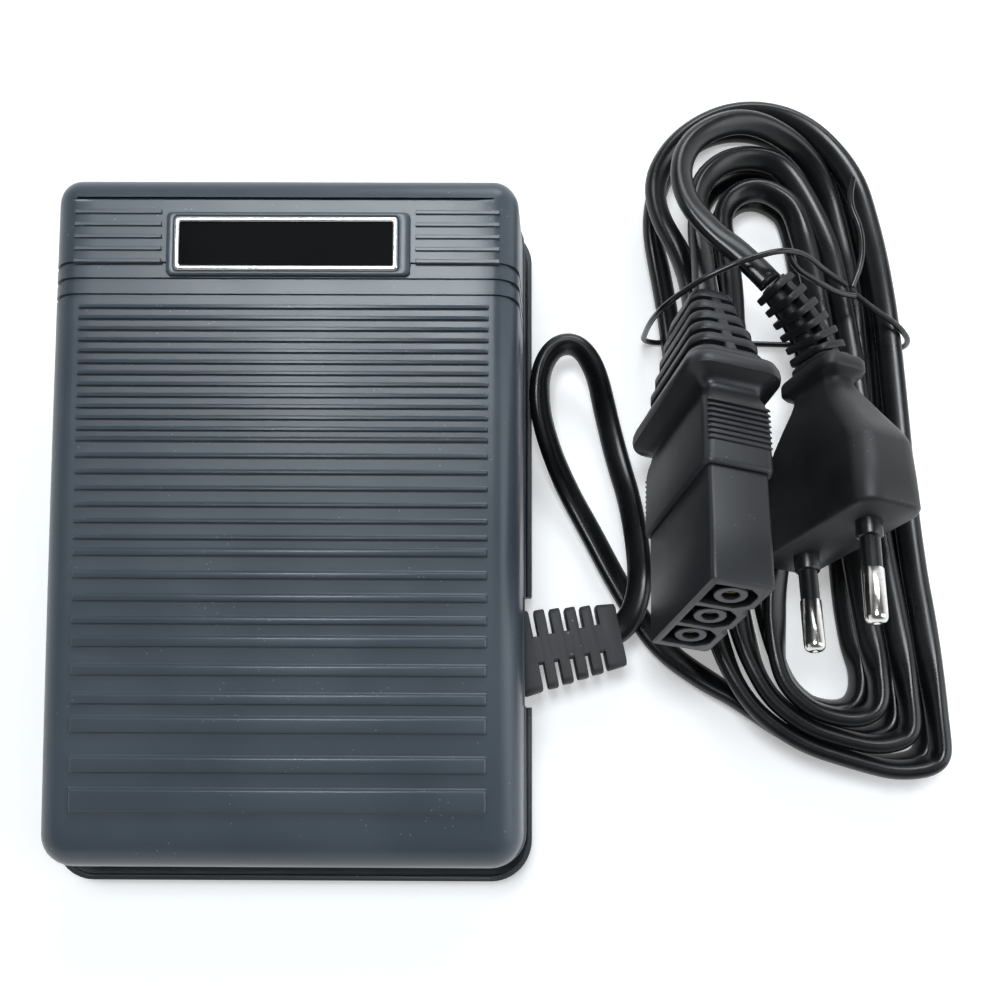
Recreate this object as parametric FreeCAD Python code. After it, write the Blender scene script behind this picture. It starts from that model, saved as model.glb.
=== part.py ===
import FreeCAD, Part
import math
import os

# Foot speed control with its cord set.  Millimetres, +Z up.
# Origin: on the floor under the middle of the base.  +Y runs toward the raised
# end with the name plate, +X toward the side where the cord leaves.

V = FreeCAD.Vector

# Base tray
BASE_HALF_X = 46.8
BASE_HALF_Y = 68.0
BASE_CORNER = 8.0
FOOT_HEIGHT = 2.0
FLOOR_TOP = 4.5
LEDGE_TOP = 5.0
BEAD_TOP = 6.0
BEAD_WIDTH = 1.0
WALL_X = BASE_HALF_X - 5.8
WALL_NEAR_Y = -60.9
WALL_FAR_Y = 60.3
WALL_THICK = 2.0
WALL_TOP_NEAR = 14.0
WALL_TOP_FAR = 25.2
STOP_X = WALL_X - 7.0
STOP_Y = WALL_FAR_Y - 10.3
STOP_Z = 20.0
STOP_THICK = 2.5
STOP_R = 3.6
NOTCH_Y = (-34.5, -12.2)

# Treadle
COVER_HALF_X = 45.35
COVER_HALF_Y = 64.9
COVER_CORNER = 6.5
DRAFT = 0.056
RIM_NEAR_Z = 7.0
RIM_FAR_Z = 19.0
TOP_NEAR_Z = 23.3
TOP_SLOPE = 0.146
TOP_HALF_Y = 64.3
CROWN = 0.8
SHOULDER = 5.0
COVER_WALL = 2.3
LIP = 0.35

# Ribs on the treadle: how many, distance to the next one, width
RIB_GROUPS = [
    (12, 2.05, 1.0),
    (7, 2.98, 1.2),
    (4, 4.1, 1.85),
    (3, 5.15, 2.45),
    (2, 7.1, 3.4),
    (1, 9.35, 4.75),
]
RIB_FIRST_Y = 37.2
RIB_HALF_X = 37.9
RIB_HEIGHT = 0.8
WRAP_GROOVES = [45.76, 42.78, 39.8]
LINE_GROOVE_Y = 58.1
FINE_FIRST_Y = 46.3
FINE_LAST_Y = 55.5
FINE_SPANS = [(-39.2, -22.6), (24.1, 40.1)]
FRAME_X = (-21.9, 23.4)
FRAME_Y = (43.4, 55.4)
PLATE_FRAME_HEIGHT = 1.0
BORDER_X = (-20.4, 21.2)
BORDER_Y = (44.3, 54.5)
BORDER_BAR = 1.0

# Hinge
HINGE_Y = -54.0
HINGE_Z = 11.0
PIN_R = 1.5
PIN_HALF = WALL_X - 5.7
RUN_GAP = 0.05
HOLD_GAP = 0.02
COVER_LUG = (WALL_X - 11.2, WALL_X - 7.2)
BASE_LUG = (WALL_X - 15.5, WALL_X - 11.5)
WASHER = 1.0

# Drive of the potentiometer
MODULE = 0.8
SECTOR_TEETH = 225
PINION_TEETH = 14
TOOTH_TOP = 0.64
TOOTH_ROOT = 0.96
FLANK_PLAY = 0.1
WEB_CLEAR = 0.35
SECTOR_R = MODULE * SECTOR_TEETH / 2.0
PINION_R = MODULE * PINION_TEETH / 2.0
PINION_Z = 19.0
CENTRE_DISTANCE = SECTOR_R + PINION_R
MESH_ANGLE = math.asin((PINION_Z - HINGE_Z) / CENTRE_DISTANCE)
PINION_Y = HINGE_Y + CENTRE_DISTANCE * math.cos(MESH_ANGLE)
SECTOR_X = (11.0, 14.0)
PINION_X = (10.4, 14.6)

# Return spring
SPRING_XY = (-14.0, 30.0)
SPRING_MEAN_R = 5.4
SPRING_WIRE = 1.2
SPRING_BOTTOM = 7.0
SPRING_TOP = 30.0
SPRING_TURNS = 7
SPRING_STEPS = 6

# Strain relief of the pedal
RELIEF_START = (WALL_X + 0.2, -24.7)
RELIEF_END = (RELIEF_START[0] + 23.3, -20.05)
RELIEF_Z = 7.5

# Cords: a round tube as thick as the mean of the flat cord
CORD_R = 2.15
END_SHARE = 1.9
LAYER_1 = 2.3
LAYER_2 = 7.3

# Hank
HANK_TOP = (95.0, 68.5)
HANK_BOTTOM = (113.5, -31.5)
TOP_SHIFT = 1.3
TURN_TOP = [8.2, 13.0, 17.8, 22.6]
TURN_LIFT = 1.1
LOW_LEFT = (84.0, -15.0, 6.0, 0.0, -1.35)
LOW_SLANT = (99.2, -12.2, 30.0, 0.72, -0.80)
LOW_CREST = (103.2, -5.6, 90.0, 1.07, 0.68)
SLANT_TURN = 1.7
LOW_RIGHT = (95.0, 0.9, 180.0, 0.0, 1.25)
COLUMN_1 = [0.0, 4.97, 9.97]
COLUMN_2 = [0.0, 5.6, 11.0]
TIE_AT = 26.0
TIE_RISE = 1.35
CLIMB = (26.0, 76.0)
CROSS_TUCK = 4.6

# Connector and plug: face centre and axes
CON_FACE = V(76.9, -19.9, 41.8)
CON_NOSE = V(-0.054, -0.942, 0.332)
CON_LONG = V(-0.258, -0.308, -0.916)
CON_BODY = (28.4, 11.4)
CON_BODY_L = 22.0
CON_HOOD = (30.4, 13.2)
CON_HOOD_L = 20.0
CON_FLANGE = (34.2, 18.8)
CON_FLANGE_L = 4.0
CON_RELIEF_L = 22.0
CON_RELIEF_ROOT = (30.0, 15.6)
CON_RELIEF_TIP = (14.4, 8.6)
SOCKET_PITCH = 8.6
SOCKET_R = 1.3
SOCKET_DEPTH = 14.0
PLUG_FACE = V(102.66, -4.31, 30.4)
PLUG_NOSE = V(-0.033, -0.969, 0.243)
PLUG_LONG = V(0.385, 0.212, 0.898)
PLUG_FACE_SIZE = (35.3, 13.7)
PLUG_LENGTH = 36.0
PLUG_PIN_R = 2.0
PLUG_PIN_L = 19.0
PLUG_PIN_TIP = 10.0
SLEEVE_R = 1.8
SLEEVE_WALL = 0.25
PIN_ROOT_HALF = 9.3
PIN_TIP_HALF = 8.8
PLUG_MOUTH = V(94.0, 48.5, 24.0)
PLUG_MOUTH_DIR = V(-0.65, 0.76, 0.0)

os.makedirs("parts", exist_ok=True)


def top_z(y):
    return TOP_NEAR_Z + TOP_SLOPE * (y + TOP_HALF_Y) + CROWN * (1.0 - (y / TOP_HALF_Y) ** 2)


def rim_z(y):
    return RIM_NEAR_Z + (RIM_FAR_Z - RIM_NEAR_Z) * (y + COVER_HALF_Y) / (2.0 * COVER_HALF_Y)


def unit(v):
    w = V(v)
    w.normalize()
    return w


def save(name, shapes):
    solids = []
    for shape in shapes:
        solids.extend(shape.Solids)
    for solid in solids:
        if not solid.isValid():
            print("not valid:", name)
    whole = solids[0] if len(solids) == 1 else Part.makeCompound(solids)
    whole.exportStep("parts/%s.step" % name)
    box = whole.BoundBox
    print("%-24s %2d  x %.1f %.1f  y %.1f %.1f  z %.2f %.2f" % (
        name, len(solids), box.XMin, box.XMax, box.YMin, box.YMax, box.ZMin, box.ZMax))


def box(x0, x1, y0, y1, z0, z1):
    return Part.makeBox(x1 - x0, y1 - y0, z1 - z0, V(x0, y0, z0))


def cyl_z(x, y, r, z0, z1):
    return Part.makeCylinder(r, z1 - z0, V(x, y, z0), V(0, 0, 1))


def cyl_x(y, z, r, x0, x1):
    return Part.makeCylinder(r, x1 - x0, V(x0, y, z), V(1, 0, 0))


def polygon(points):
    ring = [V(*p) for p in points]
    ring.append(ring[0])
    return Part.makePolygon(ring)


def prism_x(points_yz, x0, x1):
    face = Part.Face(polygon([(x0, y, z) for y, z in points_yz]))
    return face.extrude(V(x1 - x0, 0, 0))


def rounded_wire(half_x, half_y, radius, z, centre=(0.0, 0.0)):
    cx, cy = centre
    edges = []
    corners = [(1, -1, -90), (1, 1, 0), (-1, 1, 90), (-1, -1, 180)]
    ends = []
    for sx, sy, start in corners:
        px = cx + sx * (half_x - radius)
        py = cy + sy * (half_y - radius)
        a0 = math.radians(start)
        am = a0 + math.pi / 4.0
        a1 = a0 + math.pi / 2.0
        p0 = V(px + radius * math.cos(a0), py + radius * math.sin(a0), z)
        pm = V(px + radius * math.cos(am), py + radius * math.sin(am), z)
        p1 = V(px + radius * math.cos(a1), py + radius * math.sin(a1), z)
        ends.append((p0, pm, p1))
    for i in range(4):
        p0, pm, p1 = ends[i]
        edges.append(Part.Arc(p0, pm, p1).toShape())
        edges.append(Part.makeLine(p1, ends[(i + 1) % 4][0]))
    return Part.Wire(edges)


def rounded_prism(half_x, half_y, radius, z0, z1, centre=(0.0, 0.0)):
    face = Part.Face(rounded_wire(half_x, half_y, radius, z0, centre))
    return face.extrude(V(0, 0, z1 - z0))


def placed(shape, origin, x_dir, z_dir):
    z = unit(z_dir)
    x = unit(x_dir - z * x_dir.dot(z))
    y = z.cross(x)
    result = shape.copy()
    turn = FreeCAD.Rotation(x, y, z, "ZXY")
    result.Placement = FreeCAD.Placement(origin, turn).multiply(result.Placement)
    return result


def fused(shapes):
    whole = shapes[0]
    if len(shapes) > 1:
        whole = whole.multiFuse(shapes[1:])
    return whole.removeSplitter()


def mirrored(shape):
    return shape.mirror(V(0, 0, 0), V(1, 0, 0))


# Tubes

def arc_edge(start, direction, end):
    chord = end - start
    along = unit(chord)
    across = direction - along * direction.dot(along)
    if across.Length < 1e-5:
        return Part.makeLine(start, end)
    angle = direction.getAngle(chord)
    middle = (start + end) * 0.5 + unit(across) * (chord.Length * 0.5 * math.tan(angle * 0.5))
    return Part.Arc(start, middle, end).toShape()


def biarc(p0, t0, p1, t1):
    # Two arcs that meet smoothly between two points with given directions
    v = p1 - p0
    t = t0 + t1
    below = 2.0 * (1.0 - t0.dot(t1))
    if below < 1e-9:
        d = v.dot(v) / (4.0 * v.dot(t1))
    else:
        b = v.dot(t)
        d = (-b + math.sqrt(b * b + below * v.dot(v))) / below
    joint = (p0 + p1 + (t0 - t1) * d) * 0.5
    first = arc_edge(p0, t0, joint)
    second_dir = unit(joint - (p0 + t0 * d))
    second = arc_edge(joint, second_dir, p1)
    return [first, second]


def sweep(edges, radius):
    wire = Part.Wire(edges)
    start = edges[0].valueAt(edges[0].FirstParameter)
    direction = edges[0].tangentAt(edges[0].FirstParameter)
    circle = Part.Wire([Part.makeCircle(radius, start, direction)])
    tube = wire.makePipeShell([circle], True, False)
    return tube


def report_tube(name, tube, edges, radius):
    length = sum(e.Length for e in edges)
    tightest = 1e9
    for e in edges:
        if hasattr(e.Curve, "Radius"):
            tightest = min(tightest, e.Curve.Radius)
    body = math.pi * radius * radius * length
    print("%-18s length %.1f  least radius %.1f  volume %.0f of %.0f  valid %s" % (
        name, length, tightest, tube.Volume, body, tube.isValid()))


def bent_edges(points):
    # Straight runs joined by arcs; each arc takes its share of the shorter run,
    # and more of a run at the ends, where no other arc needs it
    pts = [V(*p) for p in points]
    edges = []
    here = pts[0]
    for i in range(1, len(pts) - 1):
        before = pts[i] - pts[i - 1]
        after = pts[i + 1] - pts[i]
        turn = before.getAngle(after)
        first = END_SHARE if i == 1 else 1.0
        last = END_SHARE if i == len(pts) - 2 else 1.0
        shorter = min(before.Length * first, after.Length * last)
        reach = 0.45 * shorter
        if math.degrees(turn) < 0.5:
            continue
        enter = pts[i] - unit(before) * reach
        leave = pts[i] + unit(after) * reach
        if (enter - here).Length > 1e-4:
            edges.append(Part.makeLine(here, enter))
        edges.append(arc_edge(enter, unit(before), leave))
        here = leave
    edges.append(Part.makeLine(here, pts[-1]))
    return edges


def bent_tube(name, points, radius):
    edges = bent_edges(points)
    tube = sweep(edges, radius)
    report_tube(name, tube, edges, radius)
    return tube, edges


# Treadle

def cover_form(inset, floor_line):
    rings = []
    for z in (0.0, 52.0):
        take = inset + DRAFT * (z - RIM_NEAR_Z)
        rings.append(rounded_wire(COVER_HALF_X - take, COVER_HALF_Y - take,
                                  max(COVER_CORNER - inset, 2.0), z))
    drafted = Part.makeLoft(rings, True, True)
    y0 = -80.0
    y1 = 80.0
    ends = [V(-60, y0, top_z(y0) - inset), V(-60, 0, top_z(0) - inset),
            V(-60, y1, top_z(y1) - inset)]
    arc = Part.Arc(ends[0], ends[1], ends[2]).toShape()
    if floor_line:
        low = [V(-60, y1, rim_z(y1)), V(-60, y0, rim_z(y0))]
    else:
        low = [V(-60, y1, -6.0), V(-60, y0, -6.0)]
    wire = Part.Wire([arc, Part.makeLine(ends[2], low[0]), Part.makeLine(low[0], low[1]),
                      Part.makeLine(low[1], ends[0])])
    slab = Part.Face(wire).extrude(V(120, 0, 0))
    form = drafted.common(slab)
    edges = []
    for e in form.Edges:
        near = True
        for k in (0.0, 0.5, 1.0):
            p = e.valueAt(e.FirstParameter + k * (e.LastParameter - e.FirstParameter))
            if abs(p.z - (top_z(p.y) - inset)) > 0.25:
                near = False
        if near:
            edges.append(e)
    if SHOULDER - inset < 0.5:
        return form
    return form.makeFillet(SHOULDER - inset, edges)


def rib_lines():
    y = RIB_FIRST_Y
    lines = []
    for count, pitch, width in RIB_GROUPS:
        for _ in range(count):
            lines.append((y + width / 2.0, width))
            y -= pitch
    return lines


def raised_bar(y, width, x0, x1, height):
    edge = min(0.3, width * 0.3)
    half = width / 2.0
    low = -0.6
    outline = [(-half, low), (half, low), (half, height - edge), (half - edge, height),
               (-half + edge, height), (-half, height - edge)]
    slope = TOP_SLOPE - 2.0 * CROWN * y / TOP_HALF_Y ** 2
    c = math.cos(math.atan(slope))
    s = math.sin(math.atan(slope))
    base = top_z(y)
    points = [(y + a * c - b * s, base + a * s + b * c) for a, b in outline]
    return prism_x(points, x0, x1)


def buried(y):
    # Height inside the top wall, where what stands under it ends
    return top_z(y) - 1.2


def plate_frame():
    y_mid = (FRAME_Y[0] + FRAME_Y[1]) / 2.0
    slope = TOP_SLOPE - 2.0 * CROWN * y_mid / TOP_HALF_Y ** 2
    return V(0, y_mid, top_z(y_mid)), V(0, -slope, 1.0), y_mid


def plate_block(x_range, y_range, radius, low, high):
    origin, normal, y_mid = plate_frame()
    cx = (x_range[0] + x_range[1]) / 2.0
    cy = (y_range[0] + y_range[1]) / 2.0 - y_mid
    hx = (x_range[1] - x_range[0]) / 2.0
    hy = (y_range[1] - y_range[0]) / 2.0
    return placed(rounded_prism(hx, hy, radius, low, high, (cx, cy)), origin, V(1, 0, 0), normal)


def grown(pair, by):
    return (pair[0] - by, pair[1] + by)


def tooth_half_angle(radius, teeth, thickness):
    pitch_r = MODULE * teeth / 2.0
    base_r = pitch_r * math.cos(math.radians(20.0))
    inv_pitch = math.tan(math.radians(20.0)) - math.radians(20.0)
    here = math.acos(min(1.0, base_r / max(radius, base_r)))
    return thickness / (2.0 * pitch_r) + inv_pitch - (math.tan(here) - here)


def tooth_points(teeth, centre_angle, steps):
    pitch_r = MODULE * teeth / 2.0
    base_r = pitch_r * math.cos(math.radians(20.0))
    thickness = math.pi * MODULE / 2.0 - FLANK_PLAY
    root = pitch_r - TOOTH_ROOT
    tip = pitch_r + TOOTH_TOP
    low = max(root, base_r)
    radii = [low + (tip - low) * i / (steps - 1.0) for i in range(steps)]
    if root < low - 0.01:
        radii = [root] + radii
    left = [(r, centre_angle - tooth_half_angle(r, teeth, thickness)) for r in radii]
    right = [(r, centre_angle + tooth_half_angle(r, teeth, thickness)) for r in radii]
    return left + right[::-1]


def sector_rack():
    pitch = 2.0 * math.pi / SECTOR_TEETH
    points = []
    for k in range(-1, 6):
        points.extend(tooth_points(SECTOR_TEETH, MESH_ANGLE + k * pitch, 4))
    first = points[0]
    last = points[-1]
    outline = [(r * math.cos(a), r * math.sin(a)) for r, a in points]
    inner = 84.0
    for k in range(5):
        a = last[1] + (first[1] - last[1]) * k / 4.0
        outline.append((inner * math.cos(a), inner * math.sin(a)))
    rim = prism_x([(HINGE_Y + y, HINGE_Z + z) for y, z in outline], SECTOR_X[0], SECTOR_X[1])
    reach = CENTRE_DISTANCE - PINION_R - TOOTH_TOP - WEB_CLEAR
    outer = []
    for degrees in (8.4, 12.5, 16.5):
        a = math.radians(degrees)
        outer.append((HINGE_Y + reach * math.cos(a), HINGE_Z + reach * math.sin(a)))
    root = buried(outer[0][0] - 9.0)
    web = prism_x([(outer[0][0] - 6.0, outer[0][1])] + outer + [(outer[2][0], root),
                  (outer[0][0] - 9.0, root)], SECTOR_X[0], SECTOR_X[1])
    gusset = box(SECTOR_X[0] - 3.0, SECTOR_X[1] + 3.0, 28.0, 30.0, 31.0, buried(28.0))
    return fused([rim, web, gusset])


def pedal_cover():
    outer = cover_form(0.0, True)
    inner = cover_form(COVER_WALL, False)
    shell = outer.cut(inner)
    lip = cover_form(-LIP, True).cut(cover_form(0.5, False))
    band = prism_x([(-80, rim_z(-80) - 2), (80, rim_z(80) - 2), (80, rim_z(80) + 1.1),
                    (-80, rim_z(-80) + 1.1)], -60, 60)
    parts = [shell, lip.common(band)]
    for y, width in rib_lines():
        parts.append(raised_bar(y, width, -RIB_HALF_X, RIB_HALF_X, RIB_HEIGHT))
    fine_step = (FINE_LAST_Y - FINE_FIRST_Y) / 4.0
    for x0, x1 in FINE_SPANS:
        for i in range(5):
            parts.append(raised_bar(FINE_FIRST_Y + i * fine_step, 0.9, x0, x1, 0.45))
    parts.append(plate_block(FRAME_X, FRAME_Y, 1.0, -1.0, PLATE_FRAME_HEIGHT))
    inside = cover_form(0.8, False)
    lug = fused([cyl_x(HINGE_Y, HINGE_Z, 3.8, COVER_LUG[0], COVER_LUG[1]),
                 box(COVER_LUG[0], COVER_LUG[1], HINGE_Y - 3.8, HINGE_Y + 3.8, HINGE_Z, 26.0)])
    lug = lug.common(inside)
    hook = box(19.0, 29.0, 57.3, 63.0, 20.2, 22.7)
    stop = cyl_z(STOP_X, STOP_Y, STOP_R - 0.1, 34.2, buried(STOP_Y - STOP_R) + 0.4)
    for shape in (lug, hook, stop):
        parts.append(shape)
        parts.append(mirrored(shape))
    x, y = SPRING_XY
    parts.append(cyl_z(x, y, 7.0, SPRING_TOP, buried(y - 7.0) + 0.4))
    parts.append(cyl_z(x, y, 4.3, SPRING_TOP - 2.5, SPRING_TOP + 1.0))
    for gx in (-30.0, 30.0):
        parts.append(box(gx - 0.8, gx + 0.8, -46.0, 44.0, 20.0, 45.0).common(
            inside.cut(cover_form(COVER_WALL + 3.0, False))))
    parts.append(sector_rack())
    cover = fused(parts)
    cutters = []
    for y in WRAP_GROOVES:
        slab = box(-60, 60, y - 0.4, y + 0.4, 0, 60)
        cutters.append(slab.cut(cover_form(0.55, False)))
    keep = plate_block(FRAME_X, FRAME_Y, 1.0, -2.0, 4.0)
    cutters[0] = cutters[0].cut(keep)
    line = box(-39.5, 38.0, LINE_GROOVE_Y - 0.35, LINE_GROOVE_Y + 0.35, 0, 60)
    cutters.append(line.cut(cover_form(0.5, False)))
    cutters.append(plate_block(grown(BORDER_X, 0.05), grown(BORDER_Y, 0.05), 0.85, 0.0, 3.0))
    cutters.append(box(40.0, 50.0, NOTCH_Y[0], -13.5, 0.0, 16.0))
    for side in (-1, 1):
        a = side * COVER_LUG[0]
        b = side * COVER_LUG[1]
        cutters.append(cyl_x(HINGE_Y, HINGE_Z, PIN_R + RUN_GAP, min(a, b) - 0.5, max(a, b) + 0.5))
    return cover.cut(Part.makeCompound(cutters))


def nameplate_border():
    outer = plate_block(BORDER_X, BORDER_Y, 0.8, 0.0, PLATE_FRAME_HEIGHT + 0.15)
    inner = plate_block(grown(BORDER_X, -BORDER_BAR), grown(BORDER_Y, -BORDER_BAR), 0.4, -1.0, 3.0)
    return outer.cut(inner)


def nameplate():
    return plate_block(grown(BORDER_X, -BORDER_BAR), grown(BORDER_Y, -BORDER_BAR), 0.4, 0.0, 0.75)


# Base

def base_tray():
    plate = rounded_prism(BASE_HALF_X, BASE_HALF_Y, BASE_CORNER, FOOT_HEIGHT, LEDGE_TOP)
    bead = rounded_prism(BASE_HALF_X, BASE_HALF_Y, BASE_CORNER, LEDGE_TOP, BEAD_TOP).cut(
        rounded_prism(BASE_HALF_X - BEAD_WIDTH, BASE_HALF_Y - BEAD_WIDTH,
                      BASE_CORNER - BEAD_WIDTH, 0.0, 20.0))
    half_y = (WALL_FAR_Y - WALL_NEAR_Y) / 2.0
    mid_y = (WALL_FAR_Y + WALL_NEAR_Y) / 2.0
    wall = rounded_prism(WALL_X, half_y, 5.0, FLOOR_TOP, 30.0, (0.0, mid_y))
    room = rounded_prism(WALL_X - WALL_THICK, half_y - WALL_THICK, 3.0, FLOOR_TOP, 31.0,
                         (0.0, mid_y))
    above = prism_x([(-70, WALL_TOP_NEAR - 0.84), (70, WALL_TOP_FAR + 0.9), (70, 40), (-70, 40)],
                    -60, 60)
    tray = fused([plate, bead, wall])
    tray = tray.cut(Part.makeCompound([room, above]))
    adds = []
    lug = fused([cyl_x(HINGE_Y, HINGE_Z, 3.5, BASE_LUG[0], BASE_LUG[1]),
                 box(BASE_LUG[0], BASE_LUG[1], HINGE_Y - 3.5, HINGE_Y + 3.5, 4.0, HINGE_Z)])
    post = cyl_z(STOP_X, STOP_Y, STOP_R + 0.4, 4.0, STOP_Z)
    rib = box(STOP_X, WALL_X - 1.0, STOP_Y - 0.8, STOP_Y + 0.8, 4.0, STOP_Z - 4.0)
    for shape in (lug, post, rib):
        adds.append(shape)
        adds.append(mirrored(shape))
    x, y = SPRING_XY
    adds.append(cyl_z(x, y, 7.2, 4.0, SPRING_BOTTOM))
    adds.append(cyl_z(x, y, 4.4, 4.0, SPRING_BOTTOM + 2.5))
    for sx, sy in BOARD_SCREWS:
        adds.append(cyl_z(sx, sy, 3.2, 4.0, BOARD_Z))
    for cx, cy in CLAMP_SCREWS:
        adds.append(cyl_z(cx, cy, 2.6, 4.0, CLAMP_Z))
    adds.append(box(BRACKET_X[0], BRACKET_X[1] + 12.0, 33.0, 49.5, 4.0, 6.0))
    tray = fused([tray] + adds)
    cuts = [box(WALL_X + 0.15, 50.0, NOTCH_Y[0], NOTCH_Y[1], 0.0, 20.0)]
    cuts.append(box(WALL_X - 3.0, WALL_X + 2.0, -30.7, -18.7, 4.8, 20.0))
    for side in (-1, 1):
        a = side * 18.0
        b = side * 30.0
        cuts.append(box(min(a, b), max(a, b), 57.0, 61.5, LEDGE_TOP, 23.0))
        c = side * BASE_LUG[0]
        d = side * BASE_LUG[1]
        cuts.append(cyl_x(HINGE_Y, HINGE_Z, PIN_R + HOLD_GAP, min(c, d) - 0.5, max(c, d) + 0.5))
    for sx, sy in BOARD_SCREWS:
        cuts.append(cyl_z(sx, sy, 1.25, 5.0, BOARD_Z + 1.0))
    for cx, cy in CLAMP_SCREWS:
        cuts.append(cyl_z(cx, cy, 1.05, 5.0, CLAMP_Z + 1.0))
    for bx, by in BRACKET_SCREWS:
        cuts.append(cyl_z(bx, by, 1.05, 3.2, 8.0))
    return tray.cut(Part.makeCompound(cuts))


def rubber_feet():
    feet = []
    for x in (10.8 - BASE_HALF_X, BASE_HALF_X - 10.8):
        for y in (11.0 - BASE_HALF_Y, BASE_HALF_Y - 11.0):
            feet.append(Part.makeCone(4.4, 5.0, FOOT_HEIGHT, V(x, y, 0), V(0, 0, 1)))
    return feet


# Inside the pedal

BOARD_Z = 9.0
BOARD_THICK = 1.6
BOARD_X = (-34.0, 22.0)
BOARD_Y = (-32.0, 18.0)
BOARD_SCREWS = [(-31.0, -29.0), (19.0, -29.0), (-31.0, 15.0), (19.0, 15.0)]
CLAMP_SCREWS = [(28.0, -31.2), (28.0, -18.2)]
CLAMP_Z = 8.2
BRACKET_X = (17.6, 19.2)
BRACKET_SCREWS = [(26.0, 36.2), (26.0, 46.4)]
BOARD_TOP = BOARD_Z + BOARD_THICK
INNER_CORD_END = 26.2


def circuit_board():
    board = box(BOARD_X[0], BOARD_X[1], BOARD_Y[0], BOARD_Y[1], BOARD_Z, BOARD_TOP)
    holes = [cyl_z(x, y, 1.6, BOARD_Z - 1, BOARD_TOP + 1) for x, y in BOARD_SCREWS]
    return board.cut(Part.makeCompound(holes))


def pan_screw(x, y, z, shank_r, shank, head_r, head):
    body = fused([cyl_z(x, y, shank_r, z - shank, z), cyl_z(x, y, head_r, z, z + head)])
    slot = box(x - head_r, x + head_r, y - 0.3, y + 0.3, z + head * 0.5, z + head + 1.0)
    return body.cut(slot)


def triac():
    body = box(-9.0, 1.0, 3.0, 12.2, 13.0, 17.4)
    tab = box(-9.0, 1.0, -3.2, 3.0, 13.0, 14.3).cut(cyl_z(-4.0, 0.2, 1.8, 12.0, 16.0))
    legs = []
    for x in (-6.54, -4.0, -1.46):
        legs.append(box(x - 0.4, x + 0.4, 12.2, 16.0, 13.6, 14.1))
        legs.append(box(x - 0.4, x + 0.4, 15.5, 16.0, BOARD_TOP, 14.1))
    return fused([body, tab] + legs)


def heat_sink():
    plate = box(-16.0, 8.0, -6.0, 12.5, 11.4, 13.0)
    walls = [box(-16.0, -14.6, -6.0, 12.5, 11.4, 20.0), box(6.6, 8.0, -6.0, 12.5, 11.4, 20.0)]
    fins = [box(-18.6, -16.0, y, y + 1.2, 14.0, 19.0) for y in (-5.0, -0.5, 4.0, 8.5)]
    feet = [box(-15.5, -12.5, -5.0, -2.0, BOARD_TOP, 11.4), box(4.5, 7.5, 9.0, 12.0, BOARD_TOP, 11.4)]
    sink = fused([plate] + walls + fins + feet)
    return sink.cut(cyl_z(-4.0, 0.2, 1.3, 11.0, 14.0))


def choke_coil():
    ring = cyl_z(-25.0, -20.0, 8.0, BOARD_TOP, BOARD_TOP + 7.0)
    ring = ring.cut(cyl_z(-25.0, -20.0, 3.6, BOARD_TOP - 1, BOARD_TOP + 9.0))
    notches = []
    for i in range(10):
        a = 2.0 * math.pi * i / 10.0
        c = V(-25.0 + 8.6 * math.cos(a), -20.0 + 8.6 * math.sin(a), BOARD_TOP - 1.0)
        notches.append(Part.makeCylinder(1.2, 12.0, c, V(0, 0, 1)))
    return ring.cut(Part.makeCompound(notches))


def film_capacitor():
    block = box(-31.0, -24.0, -9.0, 9.0, BOARD_TOP, BOARD_TOP + 11.0)
    return block.makeFillet(0.6, block.Edges[:4])


def resistors():
    made = []
    for x in (-13.5, -9.0, -4.5, 0.0):
        body = Part.makeCylinder(1.2, 6.5, V(x, -23.0, BOARD_TOP + 1.7), V(0, 1, 0))
        lead = Part.makeCylinder(0.35, 10.5, V(x, -25.0, BOARD_TOP + 1.7), V(0, 1, 0))
        legs = [cyl_z(x, -25.0, 0.35, BOARD_TOP, BOARD_TOP + 2.0),
                cyl_z(x, -14.5, 0.35, BOARD_TOP, BOARD_TOP + 2.0)]
        made.append(fused([body, lead] + legs))
    return made


def speed_trimmer():
    body = box(10.5, 17.5, -8.0, -1.0, BOARD_TOP, BOARD_TOP + 5.0)
    return body.cut(cyl_z(14.0, -4.5, 2.2, BOARD_TOP + 4.2, BOARD_TOP + 6.0))


def terminal_block():
    block = box(8.5, 17.5, -27.0, -13.0, BOARD_TOP, BOARD_TOP + 8.6)
    cuts = []
    for y in (-23.5, -16.5):
        cuts.append(cyl_z(13.0, y, 2.3, BOARD_TOP + 4.6, BOARD_TOP + 10.0))
        cuts.append(cyl_x(y, BOARD_TOP + 2.6, 1.1, 14.0, 19.0))
    return block.cut(Part.makeCompound(cuts))


def terminal_screws():
    return [pan_screw(13.0, y, BOARD_TOP + 5.6, 1.2, 1.0, 2.0, 1.6) for y in (-23.5, -16.5)]


def cord_clamp():
    bar = box(25.4, 30.6, -33.8, -15.6, CLAMP_Z, CLAMP_Z + 2.0)
    saddle = box(25.4, 30.6, -28.6, -20.8, CLAMP_Z, CLAMP_Z + 4.0)
    clamp = fused([bar, saddle])
    cuts = [Part.makeCylinder(2.25, 10.0, V(22.0, -24.7, RELIEF_Z), V(1, 0, 0))]
    for x, y in CLAMP_SCREWS:
        cuts.append(cyl_z(x, y, 1.3, CLAMP_Z - 1, CLAMP_Z + 3))
    return clamp.cut(Part.makeCompound(cuts))


def inner_cord():
    return cyl_x(RELIEF_START[1], RELIEF_Z, 2.2, INNER_CORD_END, WALL_X - 4.0)


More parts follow.
